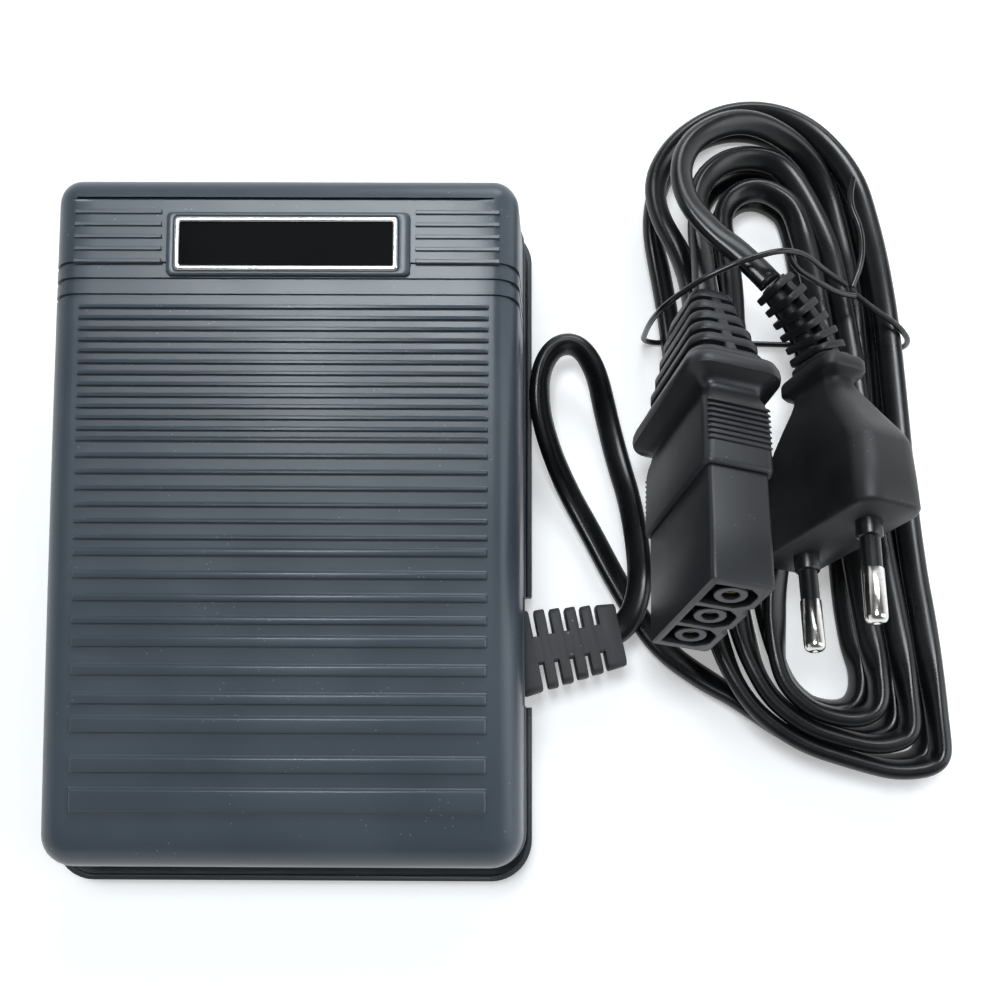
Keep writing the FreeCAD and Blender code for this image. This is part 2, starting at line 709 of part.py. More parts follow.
def inner_leads():
    made = []
    for sy, ty in ((-25.8, -23.5), (-23.6, -16.5)):
        points = [(INNER_CORD_END, sy, RELIEF_Z), (INNER_CORD_END - 2.1, sy, RELIEF_Z),
                  (BOARD_X[1] + 1.6, (sy + ty) / 2.0, BOARD_TOP + 0.9),
                  (BOARD_X[1] - 1.6, ty, BOARD_TOP + 2.6), (16.4, ty, BOARD_TOP + 2.6)]
        tube, edges = bent_tube("inner lead", points, 0.7)
        made.append(tube)
    for x, y, px in ((4.0, 16.0, 22.6), (7.0, 16.0, 25.0), (10.0, 16.0, 27.4)):
        points = [(x, y, BOARD_TOP), (x, y, 12.6), (x + 1.5, y + 4.0, 13.4),
                  (px - 4.0, 27.0, 10.0), (px, 34.0, 10.3), (px, 38.4, 10.8), (px, 38.9, 13.1)]
        tube, edges = bent_tube("wiper lead", points, 0.6)
        made.append(tube)
    return made


def potentiometer():
    can = cyl_x(PINION_Y, PINION_Z, 6.2, 20.6, 29.0)
    front = cyl_x(PINION_Y, PINION_Z, 5.6, 19.2, 20.6)
    bush = cyl_x(PINION_Y, PINION_Z, 3.4, 15.2, 19.2)
    tags = [box(x - 0.6, x + 0.6, 37.6, 38.3, 13.2, 16.6) for x in (22.6, 25.0, 27.4)]
    body = fused([can, front, bush] + tags)
    return body.cut(cyl_x(PINION_Y, PINION_Z, 2.0 + RUN_GAP, 10.0, 26.4))


def potentiometer_nut():
    corners = []
    for i in range(6):
        a = math.radians(60.0 * i)
        corners.append((PINION_Y + 5.2 * math.cos(a), PINION_Z + 5.2 * math.sin(a)))
    return prism_x(corners, 15.6, BRACKET_X[0]).cut(cyl_x(PINION_Y, PINION_Z, 3.4, 10, 20))


def potentiometer_bracket():
    plate = box(BRACKET_X[0], BRACKET_X[1], 34.0, 48.5, 6.0, 25.0)
    foot = box(BRACKET_X[0], 29.6, 34.0, 48.5, 6.0, 7.4)
    bracket = fused([plate, foot])
    cuts = [cyl_x(PINION_Y, PINION_Z, 3.4, 15, 20.5)]
    for x, y in BRACKET_SCREWS:
        cuts.append(cyl_z(x, y, 1.3, 5, 9))
    return bracket.cut(Part.makeCompound(cuts))


def wiper_shaft():
    return cyl_x(PINION_Y, PINION_Z, 2.0, PINION_X[0] - 0.8, 26.0)


def pinion():
    points = []
    pitch = 2.0 * math.pi / PINION_TEETH
    for k in range(PINION_TEETH):
        points.extend(tooth_points(PINION_TEETH, MESH_ANGLE + math.pi + (k + 0.5) * pitch, 4))
    outline = [(PINION_Y + r * math.cos(a), PINION_Z + r * math.sin(a)) for r, a in points]
    gear = prism_x(outline, PINION_X[0], PINION_X[1])
    return gear.cut(cyl_x(PINION_Y, PINION_Z, 2.0, PINION_X[0] - 1, PINION_X[1] + 1))


def return_spring():
    x, y = SPRING_XY
    half = SPRING_WIRE / 2.0
    height = SPRING_TOP - SPRING_BOTTOM - SPRING_WIRE
    rise = height / (2.0 * math.pi * SPRING_TURNS)
    rows = []
    for i in range(SPRING_TURNS * SPRING_STEPS + 1):
        a = 2.0 * math.pi * i / SPRING_STEPS
        p = V(x + SPRING_MEAN_R * math.cos(a), y + SPRING_MEAN_R * math.sin(a),
              SPRING_BOTTOM + half + rise * a)
        t = V(-SPRING_MEAN_R * math.sin(a), SPRING_MEAN_R * math.cos(a), rise)
        rows.append((p, unit(t)))
    return sweep(join(rows), half - 0.02)


# Strain relief of the pedal

def relief_axis():
    a = V(RELIEF_START[0], RELIEF_START[1], RELIEF_Z)
    b = V(RELIEF_END[0], RELIEF_END[1], RELIEF_Z)
    return a, b


def pedal_strain_relief(cord_edges):
    a, b = relief_axis()
    length = (b - a).Length
    rings = [rounded_wire(4.5, 8.8, 1.6, 0.0), rounded_wire(3.0, 6.25, 1.2, length)]
    body = Part.makeLoft(rings, True, True)
    slots = []
    for i in range(5):
        z0 = 6.2 + i * 3.1
        for side in (-1, 1):
            y0 = side * 2.4
            y1 = side * 12.0
            slots.append(box(-8.0, 8.0, min(y0, y1), max(y0, y1), z0, z0 + 1.5))
    core = Part.makeCylinder(2.9, length, V(0, 0, 0), V(0, 0, 1))
    body = body.cut(Part.makeCompound(slots).cut(core))
    body = placed(body, a, V(0, 0, 1), b - a)
    face = RELIEF_START[0]
    body = body.cut(box(face - 12.0, face, -50.0, 0.0, -5.0, 30.0))
    root = box(face, face + 2.2, -33.4, -15.9, 3.0, 12.0)
    neck = box(face - 2.3, face + 0.2, -30.6, -18.8, 4.9, 10.2)
    flange = box(face - 4.2, face - 2.3, -32.4, -17.0, 4.6, 12.0)
    whole = fused([body, root, neck, flange])
    return whole.cut(sweep(cord_edges, CORD_R + 0.35))


# Connector

def con_place(shape):
    return placed(shape, CON_FACE, CON_LONG, CON_NOSE)


def section_loft(rows):
    rings = [rounded_wire(w / 2.0, t / 2.0, r, z) for w, t, r, z in rows]
    return Part.makeLoft(rings, True, True)


def connector_body():
    w, t = CON_BODY
    body = rounded_prism(w / 2.0, t / 2.0, 0.9, -CON_BODY_L, 0.0)
    cuts = []
    for i in (-1, 0, 1):
        x = i * SOCKET_PITCH
        recess = cyl_z(x, 0.0, 3.3, -1.4, 1.0).cut(cyl_z(x, 0.0, 2.5, -3.0, 2.0))
        cuts.append(recess)
        cuts.append(cyl_z(x, 0.0, 1.7, -SOCKET_DEPTH, 1.0))
    for i in (-0.5, 0.5):
        x = i * SOCKET_PITCH
        cuts.append(box(x - 0.9, x + 0.9, 4.4, 8.0, -CON_BODY_L * 0.5, 1.0))
    return con_place(body.cut(Part.makeCompound(cuts)))


def socket_sleeves():
    made = []
    for i in (-1, 0, 1):
        x = i * SOCKET_PITCH
        sleeve = cyl_z(x, 0.0, 1.7, -SOCKET_DEPTH, -0.4).cut(
            cyl_z(x, 0.0, SOCKET_R, -SOCKET_DEPTH + 1.0, 1.0))
        made.append(con_place(sleeve))
    return made


def connector_hood():
    w, t = CON_HOOD
    fw, ft = CON_FLANGE
    z1 = -CON_BODY_L
    z2 = z1 - CON_HOOD_L
    grip = section_loft([(w, t, 1.6, z1), (w - 0.4, t - 0.2, 1.8, z1 - 14.0)])
    waist = section_loft([(w - 0.4, t - 0.2, 1.8, z1 - 14.0), (w - 2.6, t - 1.6, 2.2, z1 - 17.5),
                          (w + 1.0, t + 2.4, 3.0, z2)])
    flange = section_loft([(fw - 0.8, ft - 0.8, 4.0, z2), (fw, ft, 4.2, z2 - 1.2),
                           (fw - 2.4, ft - 2.4, 4.0, z2 - CON_FLANGE_L)])
    ridges = []
    for i in range(8):
        z = z1 - 5.0 - i * 1.15
        ring = rounded_prism(w / 2.0 + 0.25, t / 2.0 + 0.1, 1.8, z - 0.3, z + 0.3)
        side = box(-30.0, 30.0, -t / 2.0 + 1.6, t / 2.0 - 1.6, z - 1.0, z + 1.0)
        ridges.append(ring.common(side))
    return con_place(fused([grip, waist, flange] + ridges))


def connector_strain_relief():
    z0 = -CON_BODY_L - CON_HOOD_L - CON_FLANGE_L
    z1 = z0 - CON_RELIEF_L
    w0, t0 = CON_RELIEF_ROOT
    w1, t1 = CON_RELIEF_TIP
    outer = section_loft([(w0, t0, 4.0, z0), (w1, t1, 2.6, z1)])
    core = section_loft([(w0 - 5.5, t0 - 5.2, 3.4, z0), (w1 - 3.4, t1 - 2.4, 2.0, z1)])
    slots = []
    for i in range(5):
        z = z0 - 2.6 - i * 3.7
        slab = box(-30.0, 30.0, -30.0, 30.0, z - 1.8, z)
        spine = box(-30.0, 30.0, -1.2, 1.2, z - 3.0, z + 1.0)
        slots.append(slab.cut(spine).cut(core))
    return con_place(outer.cut(Part.makeCompound(slots)))


def con_mouth(offset):
    z1 = CON_BODY_L + CON_HOOD_L + CON_FLANGE_L + CON_RELIEF_L
    nose = unit(CON_NOSE)
    long_axis = unit(CON_LONG - nose * CON_LONG.dot(nose))
    return CON_FACE - nose * z1 + long_axis * offset


# Plug

def plug_place(shape):
    return placed(shape, PLUG_FACE, PLUG_LONG, PLUG_NOSE)


def plug_body():
    w, t = PLUG_FACE_SIZE
    rows = [
        (w - 1.0, t - 1.0, 3.2, 0.0),
        (w, t, 3.6, -0.9),
        (w - 0.6, t - 0.4, 3.6, -14.0),
        (24.0, 11.0, 3.4, -22.0),
        (14.0, 6.8, 2.6, -30.0),
        (13.0, 7.4, 2.6, -32.4),
    ]
    body = section_loft(rows)
    collar = section_loft([(17.0, 9.6, 2.2, -32.4), (17.0, 9.6, 2.2, -PLUG_LENGTH)])
    body = fused([body, collar])
    for side in (-1, 1):
        root, lean = pin_axis(side)
        body = body.cut(Part.makeCylinder(SLEEVE_R, 16.0, root - lean * 12.0, lean))
    return plug_place(body)


def pin_axis(side):
    root = V(side * PIN_ROOT_HALF, 0.0, 0.0)
    tip = V(side * PIN_TIP_HALF, 0.0, PLUG_PIN_L)
    return root, unit(tip - root)


def plug_pins():
    made = []
    for side in (-1, 1):
        root, lean = pin_axis(side)
        shank = Part.makeCylinder(SLEEVE_R - SLEEVE_WALL, 12.0 + PLUG_PIN_L - PLUG_PIN_TIP + 1.0,
                                  root - lean * 12.0, lean)
        start = PLUG_PIN_L - PLUG_PIN_TIP
        tip = Part.makeCylinder(PLUG_PIN_R, PLUG_PIN_TIP, root + lean * start, lean)
        ends = [e for e in tip.Edges if len(e.Vertexes) == 1]
        far = max(ends, key=lambda e: e.CenterOfMass.z)
        tip = tip.makeFillet(1.3, [far])
        made.append(plug_place(fused([shank, tip])))
    return made


def pin_sleeves():
    made = []
    for side in (-1, 1):
        root, lean = pin_axis(side)
        length = 12.0 + PLUG_PIN_L - PLUG_PIN_TIP
        sleeve = Part.makeCylinder(SLEEVE_R, length, root - lean * 12.0, lean)
        sleeve = sleeve.cut(Part.makeCylinder(SLEEVE_R - SLEEVE_WALL, length + 2.0,
                                              root - lean * 13.0, lean))
        made.append(plug_place(sleeve))
    return made


def plug_strain_relief():
    nose = unit(PLUG_NOSE)
    start = PLUG_FACE - nose * PLUG_LENGTH
    end = V(PLUG_MOUTH)
    d0 = nose * -1.0
    d1 = unit(PLUG_MOUTH_DIR)
    up = unit(PLUG_LONG)
    span = (end - start).Length
    wires = []
    stations = []
    count = 6
    for i in range(count + 1):
        k = i / float(count)
        h00 = 2 * k ** 3 - 3 * k ** 2 + 1
        h10 = k ** 3 - 2 * k ** 2 + k
        h01 = -2 * k ** 3 + 3 * k ** 2
        h11 = k ** 3 - k ** 2
        g10 = 3 * k ** 2 - 4 * k + 1
        g11 = 3 * k ** 2 - 2 * k
        g01 = -6 * k ** 2 + 6 * k
        p = start * h00 + d0 * (h10 * span) + end * h01 + d1 * (h11 * span)
        t = unit((end - start) * g01 + d0 * (g10 * span) + d1 * (g11 * span))
        w = 12.0 - 4.2 * k
        d = 7.6 - 1.4 * k
        ring = rounded_wire(w / 2.0, d / 2.0, 2.0, 0.0)
        wires.append(placed(ring, p, up, t))
        stations.append((p, t, w, d))
    body = Part.makeLoft(wires, True, False)
    slots = []
    for i in range(len(stations) - 1):
        for part in (0.25, 0.75):
            p = stations[i][0] * (1 - part) + stations[i + 1][0] * part
            t = unit(stations[i][1] * (1 - part) + stations[i + 1][1] * part)
            for sx in (-1, 1):
                for sy in (-1, 1):
                    x0 = sx * 2.7
                    x1 = sx * 9.0
                    y0 = sy * 1.1
                    y1 = sy * 7.0
                    cut = box(min(x0, x1), max(x0, x1), min(y0, y1), max(y0, y1), -0.45, 0.45)
                    slots.append(placed(cut, p, up, t))
    return body.cut(Part.makeCompound(slots))


# Hank

def hank_axes():
    t = V(HANK_TOP[0], HANK_TOP[1], 0)
    b = V(HANK_BOTTOM[0], HANK_BOTTOM[1], 0)
    down = unit(b - t)
    right = V(-down.y, down.x, 0)
    if right.x < 0:
        right = right * -1.0
    return t, down, right, (b - t).Length


def hank_point(s, w, z):
    t, down, right, length = hank_axes()
    p = t + down * s + right * w
    return V(p.x, p.y, z)


def smooth(k):
    k = max(0.0, min(1.0, k))
    return k * k * (3.0 - 2.0 * k)


def tie_rise(s):
    if s <= TIE_AT:
        return TIE_RISE * smooth(s / TIE_AT)
    return TIE_RISE * (1.0 - smooth((s - TIE_AT) / (LOW_LEFT[0] - TIE_AT)))


def low_place(station, column):
    # A station of the low turn for the strand that lies that far out
    return station[0] + column * station[3], station[1] + column * station[4]


def run_end(side, column):
    return low_place(LOW_RIGHT if side > 0 else LOW_LEFT, column)


def run_across(s, side, turn, column):
    low_s, low_w = run_end(side, column)
    w = side * TURN_TOP[turn] + TOP_SHIFT
    return w + (low_w - w) * smooth(s / low_s)


def run_position(s, side, turn, column, z_top, z_low):
    z = z_top + (z_low - z_top) * smooth((s - CLIMB[0]) / (CLIMB[1] - CLIMB[0])) + tie_rise(s)
    return hank_point(s, run_across(s, side, turn, column), z)


def run_stations(side, turn, column, z_top, z_low, northward):
    low_s = run_end(side, column)[0]
    marks = [0.0, 13.0, TIE_AT, 45.0, 64.0, low_s]
    rows = []
    for s in marks:
        p = run_position(s, side, turn, column, z_top, z_low)
        if s in (0.0, low_s):
            t = hank_axes()[1]
        else:
            q = run_position(s + 0.05, side, turn, column, z_top, z_low)
            o = run_position(s - 0.05, side, turn, column, z_top, z_low)
            t = unit(q - o)
        rows.append((p, t))
    if northward:
        rows = [(p, t * -1.0) for p, t in rows[::-1]]
    return rows


def cross_stations():
    # From the low turn's left side, over the opening, to the top turn's right side
    low_s = run_end(-1, 0.0)[0]
    rows = []
    marks = [low_s, 76.0, 68.0, 60.0, 52.0, 44.0, 34.0, 24.0, 12.0, 0.0]

    def at(s):
        left = run_across(s, -1, 0, 0.0)
        right = TURN_TOP[0] + TOP_SHIFT - CROSS_TUCK * smooth(s / 40.0)
        w = left + (right - left) * smooth((88.0 - s) / 60.0)
        z = LAYER_2 + (LAYER_1 - LAYER_2) * smooth((78.0 - s) / 38.0) + tie_rise(s)
        return hank_point(s, w, z)

    for s in marks:
        if s == 0.0:
            t = hank_axes()[1] * -1.0
        else:
            t = unit(at(s - 0.05) - at(s + 0.05))
        rows.append((at(s), t))
    return rows


def low_turn(column, z, rightward):
    t, down, right, length = hank_axes()
    rows = []
    for station in (LOW_SLANT, LOW_CREST):
        s, w = low_place(station, column)
        a = math.radians(station[2])
        if station is LOW_SLANT:
            a += math.radians(SLANT_TURN * column)
        rows.append((hank_point(s, w, z), down * math.cos(a) + right * math.sin(a)))
    if not rightward:
        rows = [(p, heading * -1.0) for p, heading in rows[::-1]]
    return rows


def top_turn(turn, z, rightward):
    right = hank_axes()[2]
    crest = hank_point(-TURN_TOP[turn] - TURN_LIFT * turn, TOP_SHIFT, z)
    return [(crest, right if rightward else right * -1.0)]


def join(rows):
    edges = []
    for i in range(len(rows) - 1):
        p0, t0 = rows[i]
        p1, t1 = rows[i + 1]
        if (p1 - p0).Length < 1e-6:
            continue
        edges.extend(biarc(p0, t0, p1, t1))
    return edges


def mains_hank_rows():
    inner_1, middle_1, outer_1 = COLUMN_1
    inner_2, middle_2, outer_2 = COLUMN_2
    rows = run_stations(1, 1, middle_2, LAYER_2, LAYER_2, False)
    rows += low_turn(middle_2, LAYER_2, False)
    rows += run_stations(-1, 0, middle_2, LAYER_2, LAYER_2, True)
    rows += top_turn(0, LAYER_2, True)
    rows += run_stations(1, 0, inner_2, LAYER_2, LAYER_2, False)
    rows += low_turn(inner_2, LAYER_2, False)
    rows += cross_stations()
    rows += top_turn(0, LAYER_1, False)
    rows += run_stations(-1, 0, inner_1, LAYER_1, LAYER_1, False)
    rows += low_turn(inner_1, LAYER_1, True)
    rows += run_stations(1, 1, inner_1, LAYER_1, LAYER_1, True)
    rows += top_turn(1, LAYER_1, False)
    rows += run_stations(-1, 1, middle_1, LAYER_1, LAYER_1, False)
    rows += low_turn(middle_1, LAYER_1, True)
    rows += run_stations(1, 2, middle_1, LAYER_1, LAYER_1, True)
    return rows


def pedal_hank_rows():
    rows = low_turn(COLUMN_1[2], LAYER_1, True)
    rows += run_stations(1, 3, COLUMN_1[2], LAYER_1, LAYER_1, True)
    rows += top_turn(3, LAYER_1, False)
    rows += run_stations(-1, 3, COLUMN_2[2], LAYER_1, LAYER_2, False)
    rows += low_turn(COLUMN_2[2], LAYER_2, True)
    rows += run_stations(1, 3, COLUMN_2[2], LAYER_2, LAYER_2, True)
    return rows


def sample(edges, step):
    points = []
    for e in edges:
        n = max(2, int(e.Length / step) + 1)
        for i in range(n):
            points.append(e.valueAt(e.FirstParameter + (e.LastParameter - e.FirstParameter) * i / n))
    return points


def least_gap(points_a, points_b, skip):
    best = 1e9
    where = None
    for i, p in enumerate(points_a):
        for j, q in enumerate(points_b):
            if skip and abs(i - j) < skip:
                continue
            if abs(p.z - q.z) > 7 or abs(p.x - q.x) > 7 or abs(p.y - q.y) > 7:
                continue
            d = (p - q).Length
            if d < best:
                best = d
                where = p
    return best, where


# Routes of the free cords, point by point

PEDAL_LEAVE = 8.4
MAINS_ENTER = 4.6
MAINS_LEAVE = 6.5
PEDAL_CORD = [
    (60.5, -20.85, 7.5), (64.4, -19.9, 7.9), (67.8, -14.3, 9.8), (68.7, -6.6, 9.8),
    (67.6, 7.5, 3.6), (64.9, 17.5, 2.4), (61.2, 26.6, 3.4), (58.7, 34.65, 7.4),
    (55.65, 37.7, 8.4), (51.35, 37.7, 8.5), (48.3, 34.65, 8.6), (48.3, 27.5, 8.6),
    (50.3, 19.6, 6.4), (54.2, 11.0, 2.5), (59.3, 1.6, 2.3), (63.8, -7.4, 2.3),
    (68.6, -15.6, 2.3), (73.8, -22.7, 2.3), (80.6, -28.9, 2.3), (88.2, -34.2, 2.3),
]
PEDAL_TAIL_MIDDLE = [
    (106.0, 92.9, 7.5), (91.2, 95.2, 8.0), (77.6, 87.2, 8.8), (71.6, 73.8, 9.2),
]
MAINS_TAIL_MIDDLE = [
    (81.4, 64.5, 15.0), (82.0, 74.8, 12.0), (87.4, 81.6, 10.2), (95.2, 83.8, 8.7),
    (102.6, 81.4, 7.6),
]
MAINS_CORD_MIDDLE = [
    (104.0, 87.2, 8.6), (92.6, 89.4, 14.8), (82.2, 84.2, 19.0), (77.0, 76.6, 21.6),
    (77.2, 67.6, 23.0), (82.2, 60.0, 23.7),
]


def tuple_of(v):
    return (v.x, v.y, v.z)


def pedal_cord_points():
    start, heading = pedal_hank_rows()[0]
    return PEDAL_CORD + [tuple_of(start - heading * 4.5), tuple_of(start)]


def pedal_tail_points():
    end, heading = pedal_hank_rows()[-1]
    mouth = con_mouth(2.5)
    nose = unit(CON_NOSE)
    before = mouth - nose * 12.0
    leave = end + heading * PEDAL_LEAVE
    return [tuple_of(end), tuple_of(leave)] + PEDAL_TAIL_MIDDLE + [tuple_of(before), tuple_of(mouth)]


def mains_tail_points():
    start, heading = mains_hank_rows()[0]
    mouth = con_mouth(-2.5)
    nose = unit(CON_NOSE)
    after = mouth - nose * 10.0
    enter = start - heading * MAINS_ENTER
    return [tuple_of(mouth), tuple_of(after)] + MAINS_TAIL_MIDDLE + [tuple_of(enter), tuple_of(start)]


def mains_cord_points():
    end, heading = mains_hank_rows()[-1]
    mouth = PLUG_MOUTH
    before = mouth + unit(PLUG_MOUTH_DIR) * 7.0
    leave = end + heading * MAINS_LEAVE
    return [tuple_of(end), tuple_of(leave)] + MAINS_CORD_MIDDLE + [tuple_of(before), tuple_of(mouth)]


# Wire tie

TIE_R = 0.6
TIE_LOOP = [
    (112.5, 49.5, 16.5), (117.0, 46.4, 15.2), (122.6, 43.6, 13.2), (126.8, 42.0, 7.4),
    (126.2, 42.3, 0.62), (113.0, 43.3, 0.62), (92.0, 43.9, 0.62), (70.9, 44.0, 0.62),
    (70.8, 43.8, 8.6), (71.2, 43.8, 15.6), (73.0, 44.4, 22.6), (79.2, 47.8, 27.4),
    (88.0, 51.5, 29.0), (95.6, 53.8, 28.4), (101.0, 54.6, 24.4), (106.4, 52.6, 19.8),
    (110.9, 50.6, 17.7),
]
TIE_TAIL = [
    (112.3, 50.6, 17.0), (114.3, 55.6, 18.0), (114.5, 62.4, 18.2), (112.2, 68.6, 18.2),
    (113.3, 74.0, 18.4),
]
TIE_EYE = [
    (112.6, 48.5, 17.2), (108.4, 48.2, 19.6), (103.4, 49.6, 22.6), (98.6, 51.4, 24.9),
    (97.2, 54.6, 25.9),
]


def wire_tie():
    made = []
    middle = []
    for name, points in (("tie loop", TIE_LOOP), ("tie tail", TIE_TAIL), ("tie eye", TIE_EYE)):
        tube, edges = bent_tube(name, points, TIE_R)
        made.append(tube)
        middle.extend(edges)
    return made, middle


# Build and save

save("base_tray", [base_tray()])
save("rubber_feet", rubber_feet())
save("pedal_cover", [pedal_cover()])
save("nameplate_border", [nameplate_border()])
save("nameplate", [nameplate()])
save("hinge_pin", [cyl_x(HINGE_Y, HINGE_Z, PIN_R, -PIN_HALF, PIN_HALF)])
washers = []
for washer_x in (0.2 - PIN_HALF, PIN_HALF - 0.2 - WASHER):
    washers.append(cyl_x(HINGE_Y, HINGE_Z, 3.0, washer_x, washer_x + WASHER).cut(
        cyl_x(HINGE_Y, HINGE_Z, PIN_R, washer_x - 1.0, washer_x + WASHER + 1.0)))
save("pin_washers", washers)
save("bump_stops", [cyl_z(side * STOP_X, STOP_Y, STOP_R, STOP_Z, STOP_Z + STOP_THICK)
                    for side in (-1, 1)])
save("return_spring", [return_spring()])
save("circuit_board", [circuit_board()])
save("board_screws", [pan_screw(x, y, BOARD_TOP, 1.2, 5.0, 2.4, 1.6) for x, y in BOARD_SCREWS])
save("triac", [triac()])
save("heat_sink", [heat_sink()])
save("heat_sink_screw", [pan_screw(-4.0, 0.2, 14.3, 1.25, 2.6, 2.6, 1.8)])
save("choke_coil", [choke_coil()])
save("film_capacitor", [film_capacitor()])
save("resistors", resistors())
save("speed_trimmer", [speed_trimmer()])
save("terminal_block", [terminal_block()])
save("terminal_screws", terminal_screws())
save("cord_clamp", [cord_clamp()])
save("clamp_screws", [pan_screw(x, y, CLAMP_Z + 2.0, 1.0, 4.8, 2.0, 1.4) for x, y in CLAMP_SCREWS])
save("inner_cord", [inner_cord()])
save("inner_leads", inner_leads())
save("potentiometer", [potentiometer()])
save("potentiometer_nut", [potentiometer_nut()])
save("potentiometer_bracket", [potentiometer_bracket()])
save("bracket_screws", [pan_screw(x, y, 7.4, 1.0, 4.0, 2.0, 1.4) for x, y in BRACKET_SCREWS])
save("wiper_shaft", [wiper_shaft()])
save("pinion", [pinion()])

pedal_cord, pedal_cord_edges = bent_tube("pedal cord", pedal_cord_points(), CORD_R)
pedal_tail, pedal_tail_edges = bent_tube("pedal tail", pedal_tail_points(), CORD_R)
mains_tail, mains_tail_edges = bent_tube("mains tail", mains_tail_points(), CORD_R)
mains_cord, mains_cord_edges = bent_tube("mains cord", mains_cord_points(), CORD_R)
mains_hank_edges = join(mains_hank_rows())
mains_hank = sweep(mains_hank_edges, CORD_R)
report_tube("mains hank", mains_hank, mains_hank_edges, CORD_R)
pedal_hank_edges = join(pedal_hank_rows())
pedal_hank = sweep(pedal_hank_edges, CORD_R)
report_tube("pedal hank", pedal_hank, pedal_hank_edges, CORD_R)

tie, tie_edges = wire_tie()

STEP = 1.5
sampled = {
    "mains hank": (sample(mains_hank_edges, STEP), CORD_R),
    "pedal hank": (sample(pedal_hank_edges, STEP), CORD_R),
    "pedal cord": (sample(pedal_cord_edges, STEP), CORD_R),
    "pedal tail": (sample(pedal_tail_edges, STEP), CORD_R),
    "mains tail": (sample(mains_tail_edges, STEP), CORD_R),
    "mains cord": (sample(mains_cord_edges, STEP), CORD_R),
    "wire tie": (sample(tie_edges, STEP), TIE_R),
}
names = list(sampled)
for index, first_name in enumerate(names):
    for second_name in names[index:]:
        if first_name == "wire tie":
            continue
        skip = 14 if first_name == second_name else 0
        first_points, first_r = sampled[first_name]
        second_points, second_r = sampled[second_name]
        gap, place = least_gap(first_points, second_points, skip)
        if place is not None:
            print("gap %-10s %-10s %.2f at %.0f %.0f %.0f" % (
                first_name, second_name, gap - first_r - second_r, place.x, place.y, place.z))

save("pedal_cord", [pedal_cord])
save("pedal_cord_hank", [pedal_hank])
save("pedal_cord_tail", [pedal_tail])
save("mains_cord_tail", [mains_tail])
save("mains_cord_hank", [mains_hank])
save("mains_cord", [mains_cord])
save("pedal_strain_relief", [pedal_strain_relief(pedal_cord_edges[:4])])
save("connector_body", [connector_body()])
save("connector_hood", [connector_hood()])
save("connector_strain_relief", [connector_strain_relief()])
save("socket_sleeves", socket_sleeves())
save("plug_body", [plug_body()])
save("plug_pins", plug_pins())
save("pin_sleeves", pin_sleeves())
save("plug_strain_relief", [plug_strain_relief()])
save("wire_tie", tie)
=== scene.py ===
import math

import bmesh
import bpy
from mathutils import Matrix, Vector
from mathutils.geometry import tessellate_polygon


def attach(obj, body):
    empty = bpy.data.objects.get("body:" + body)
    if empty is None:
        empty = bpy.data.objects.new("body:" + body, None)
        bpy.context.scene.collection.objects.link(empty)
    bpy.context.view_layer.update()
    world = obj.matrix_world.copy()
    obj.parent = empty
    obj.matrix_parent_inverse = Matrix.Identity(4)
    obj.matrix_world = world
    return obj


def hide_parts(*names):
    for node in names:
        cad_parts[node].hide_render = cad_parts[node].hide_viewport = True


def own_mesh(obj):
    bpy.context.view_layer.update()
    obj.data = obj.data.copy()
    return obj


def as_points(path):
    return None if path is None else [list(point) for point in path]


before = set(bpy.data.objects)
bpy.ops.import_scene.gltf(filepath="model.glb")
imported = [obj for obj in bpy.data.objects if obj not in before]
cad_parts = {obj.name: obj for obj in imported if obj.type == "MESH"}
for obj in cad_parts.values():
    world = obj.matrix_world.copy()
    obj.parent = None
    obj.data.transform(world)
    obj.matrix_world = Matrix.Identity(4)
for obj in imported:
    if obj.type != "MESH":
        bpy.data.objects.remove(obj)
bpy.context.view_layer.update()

# Foot speed control with its cord set, in metres, +Z up, in the frame of the solids

mm = 0.001
UP = Vector((0.0, 0.0, 1.0))
RIGHT = Vector((1.0, 0.0, 0.0))
ORIGIN = Vector((0.0, 0.0, 0.0))
MERGE_DISTANCE = 1e-6


# Meshes

def new_piece(name, points, faces, material):
    mesh = bpy.data.meshes.new(name)
    mesh.from_pydata([tuple(p) for p in points], [], faces)
    mesh.update()
    return piece_of(mesh, material)


def piece_of(mesh, material=None):
    # A new object of a finished mesh, in the scene
    piece = bpy.data.objects.new(mesh.name, mesh)
    bpy.context.scene.collection.objects.link(piece)
    if material is not None:
        mesh.materials.append(material)
    return piece


def shade(piece, angle=None):
    for polygon in piece.data.polygons:
        polygon.use_smooth = True
    if angle is not None:
        piece.data.set_sharp_from_angle(angle=math.radians(angle))


def merged(mesh):
    work = bmesh.new()
    work.from_mesh(mesh)
    bmesh.ops.remove_doubles(work, verts=work.verts, dist=MERGE_DISTANCE)
    return work


def finished(work, name, material):
    mesh = bpy.data.meshes.new(name)
    work.to_mesh(mesh)
    work.free()
    piece = piece_of(mesh, material)
    shade(piece, 35.0)
    return piece


def face_outwards(piece):
    work = merged(piece.data)
    bmesh.ops.recalc_face_normals(work, faces=work.faces)
    work.to_mesh(piece.data)
    work.free()


# Effects shared by the materials

def join(links, rows):
    # Each row: a node and its output, then a node and its input
    for giver, given, taker, taken in rows:
        links.new(giver.outputs[given], taker.inputs[taken])


def math_node(nodes, operation, kind="ShaderNodeMath"):
    node = nodes.new(kind)
    node.operation = operation
    return node


def set_inputs(node, values):
    for label, value in values.items():
        node.inputs[label].default_value = value
    return node


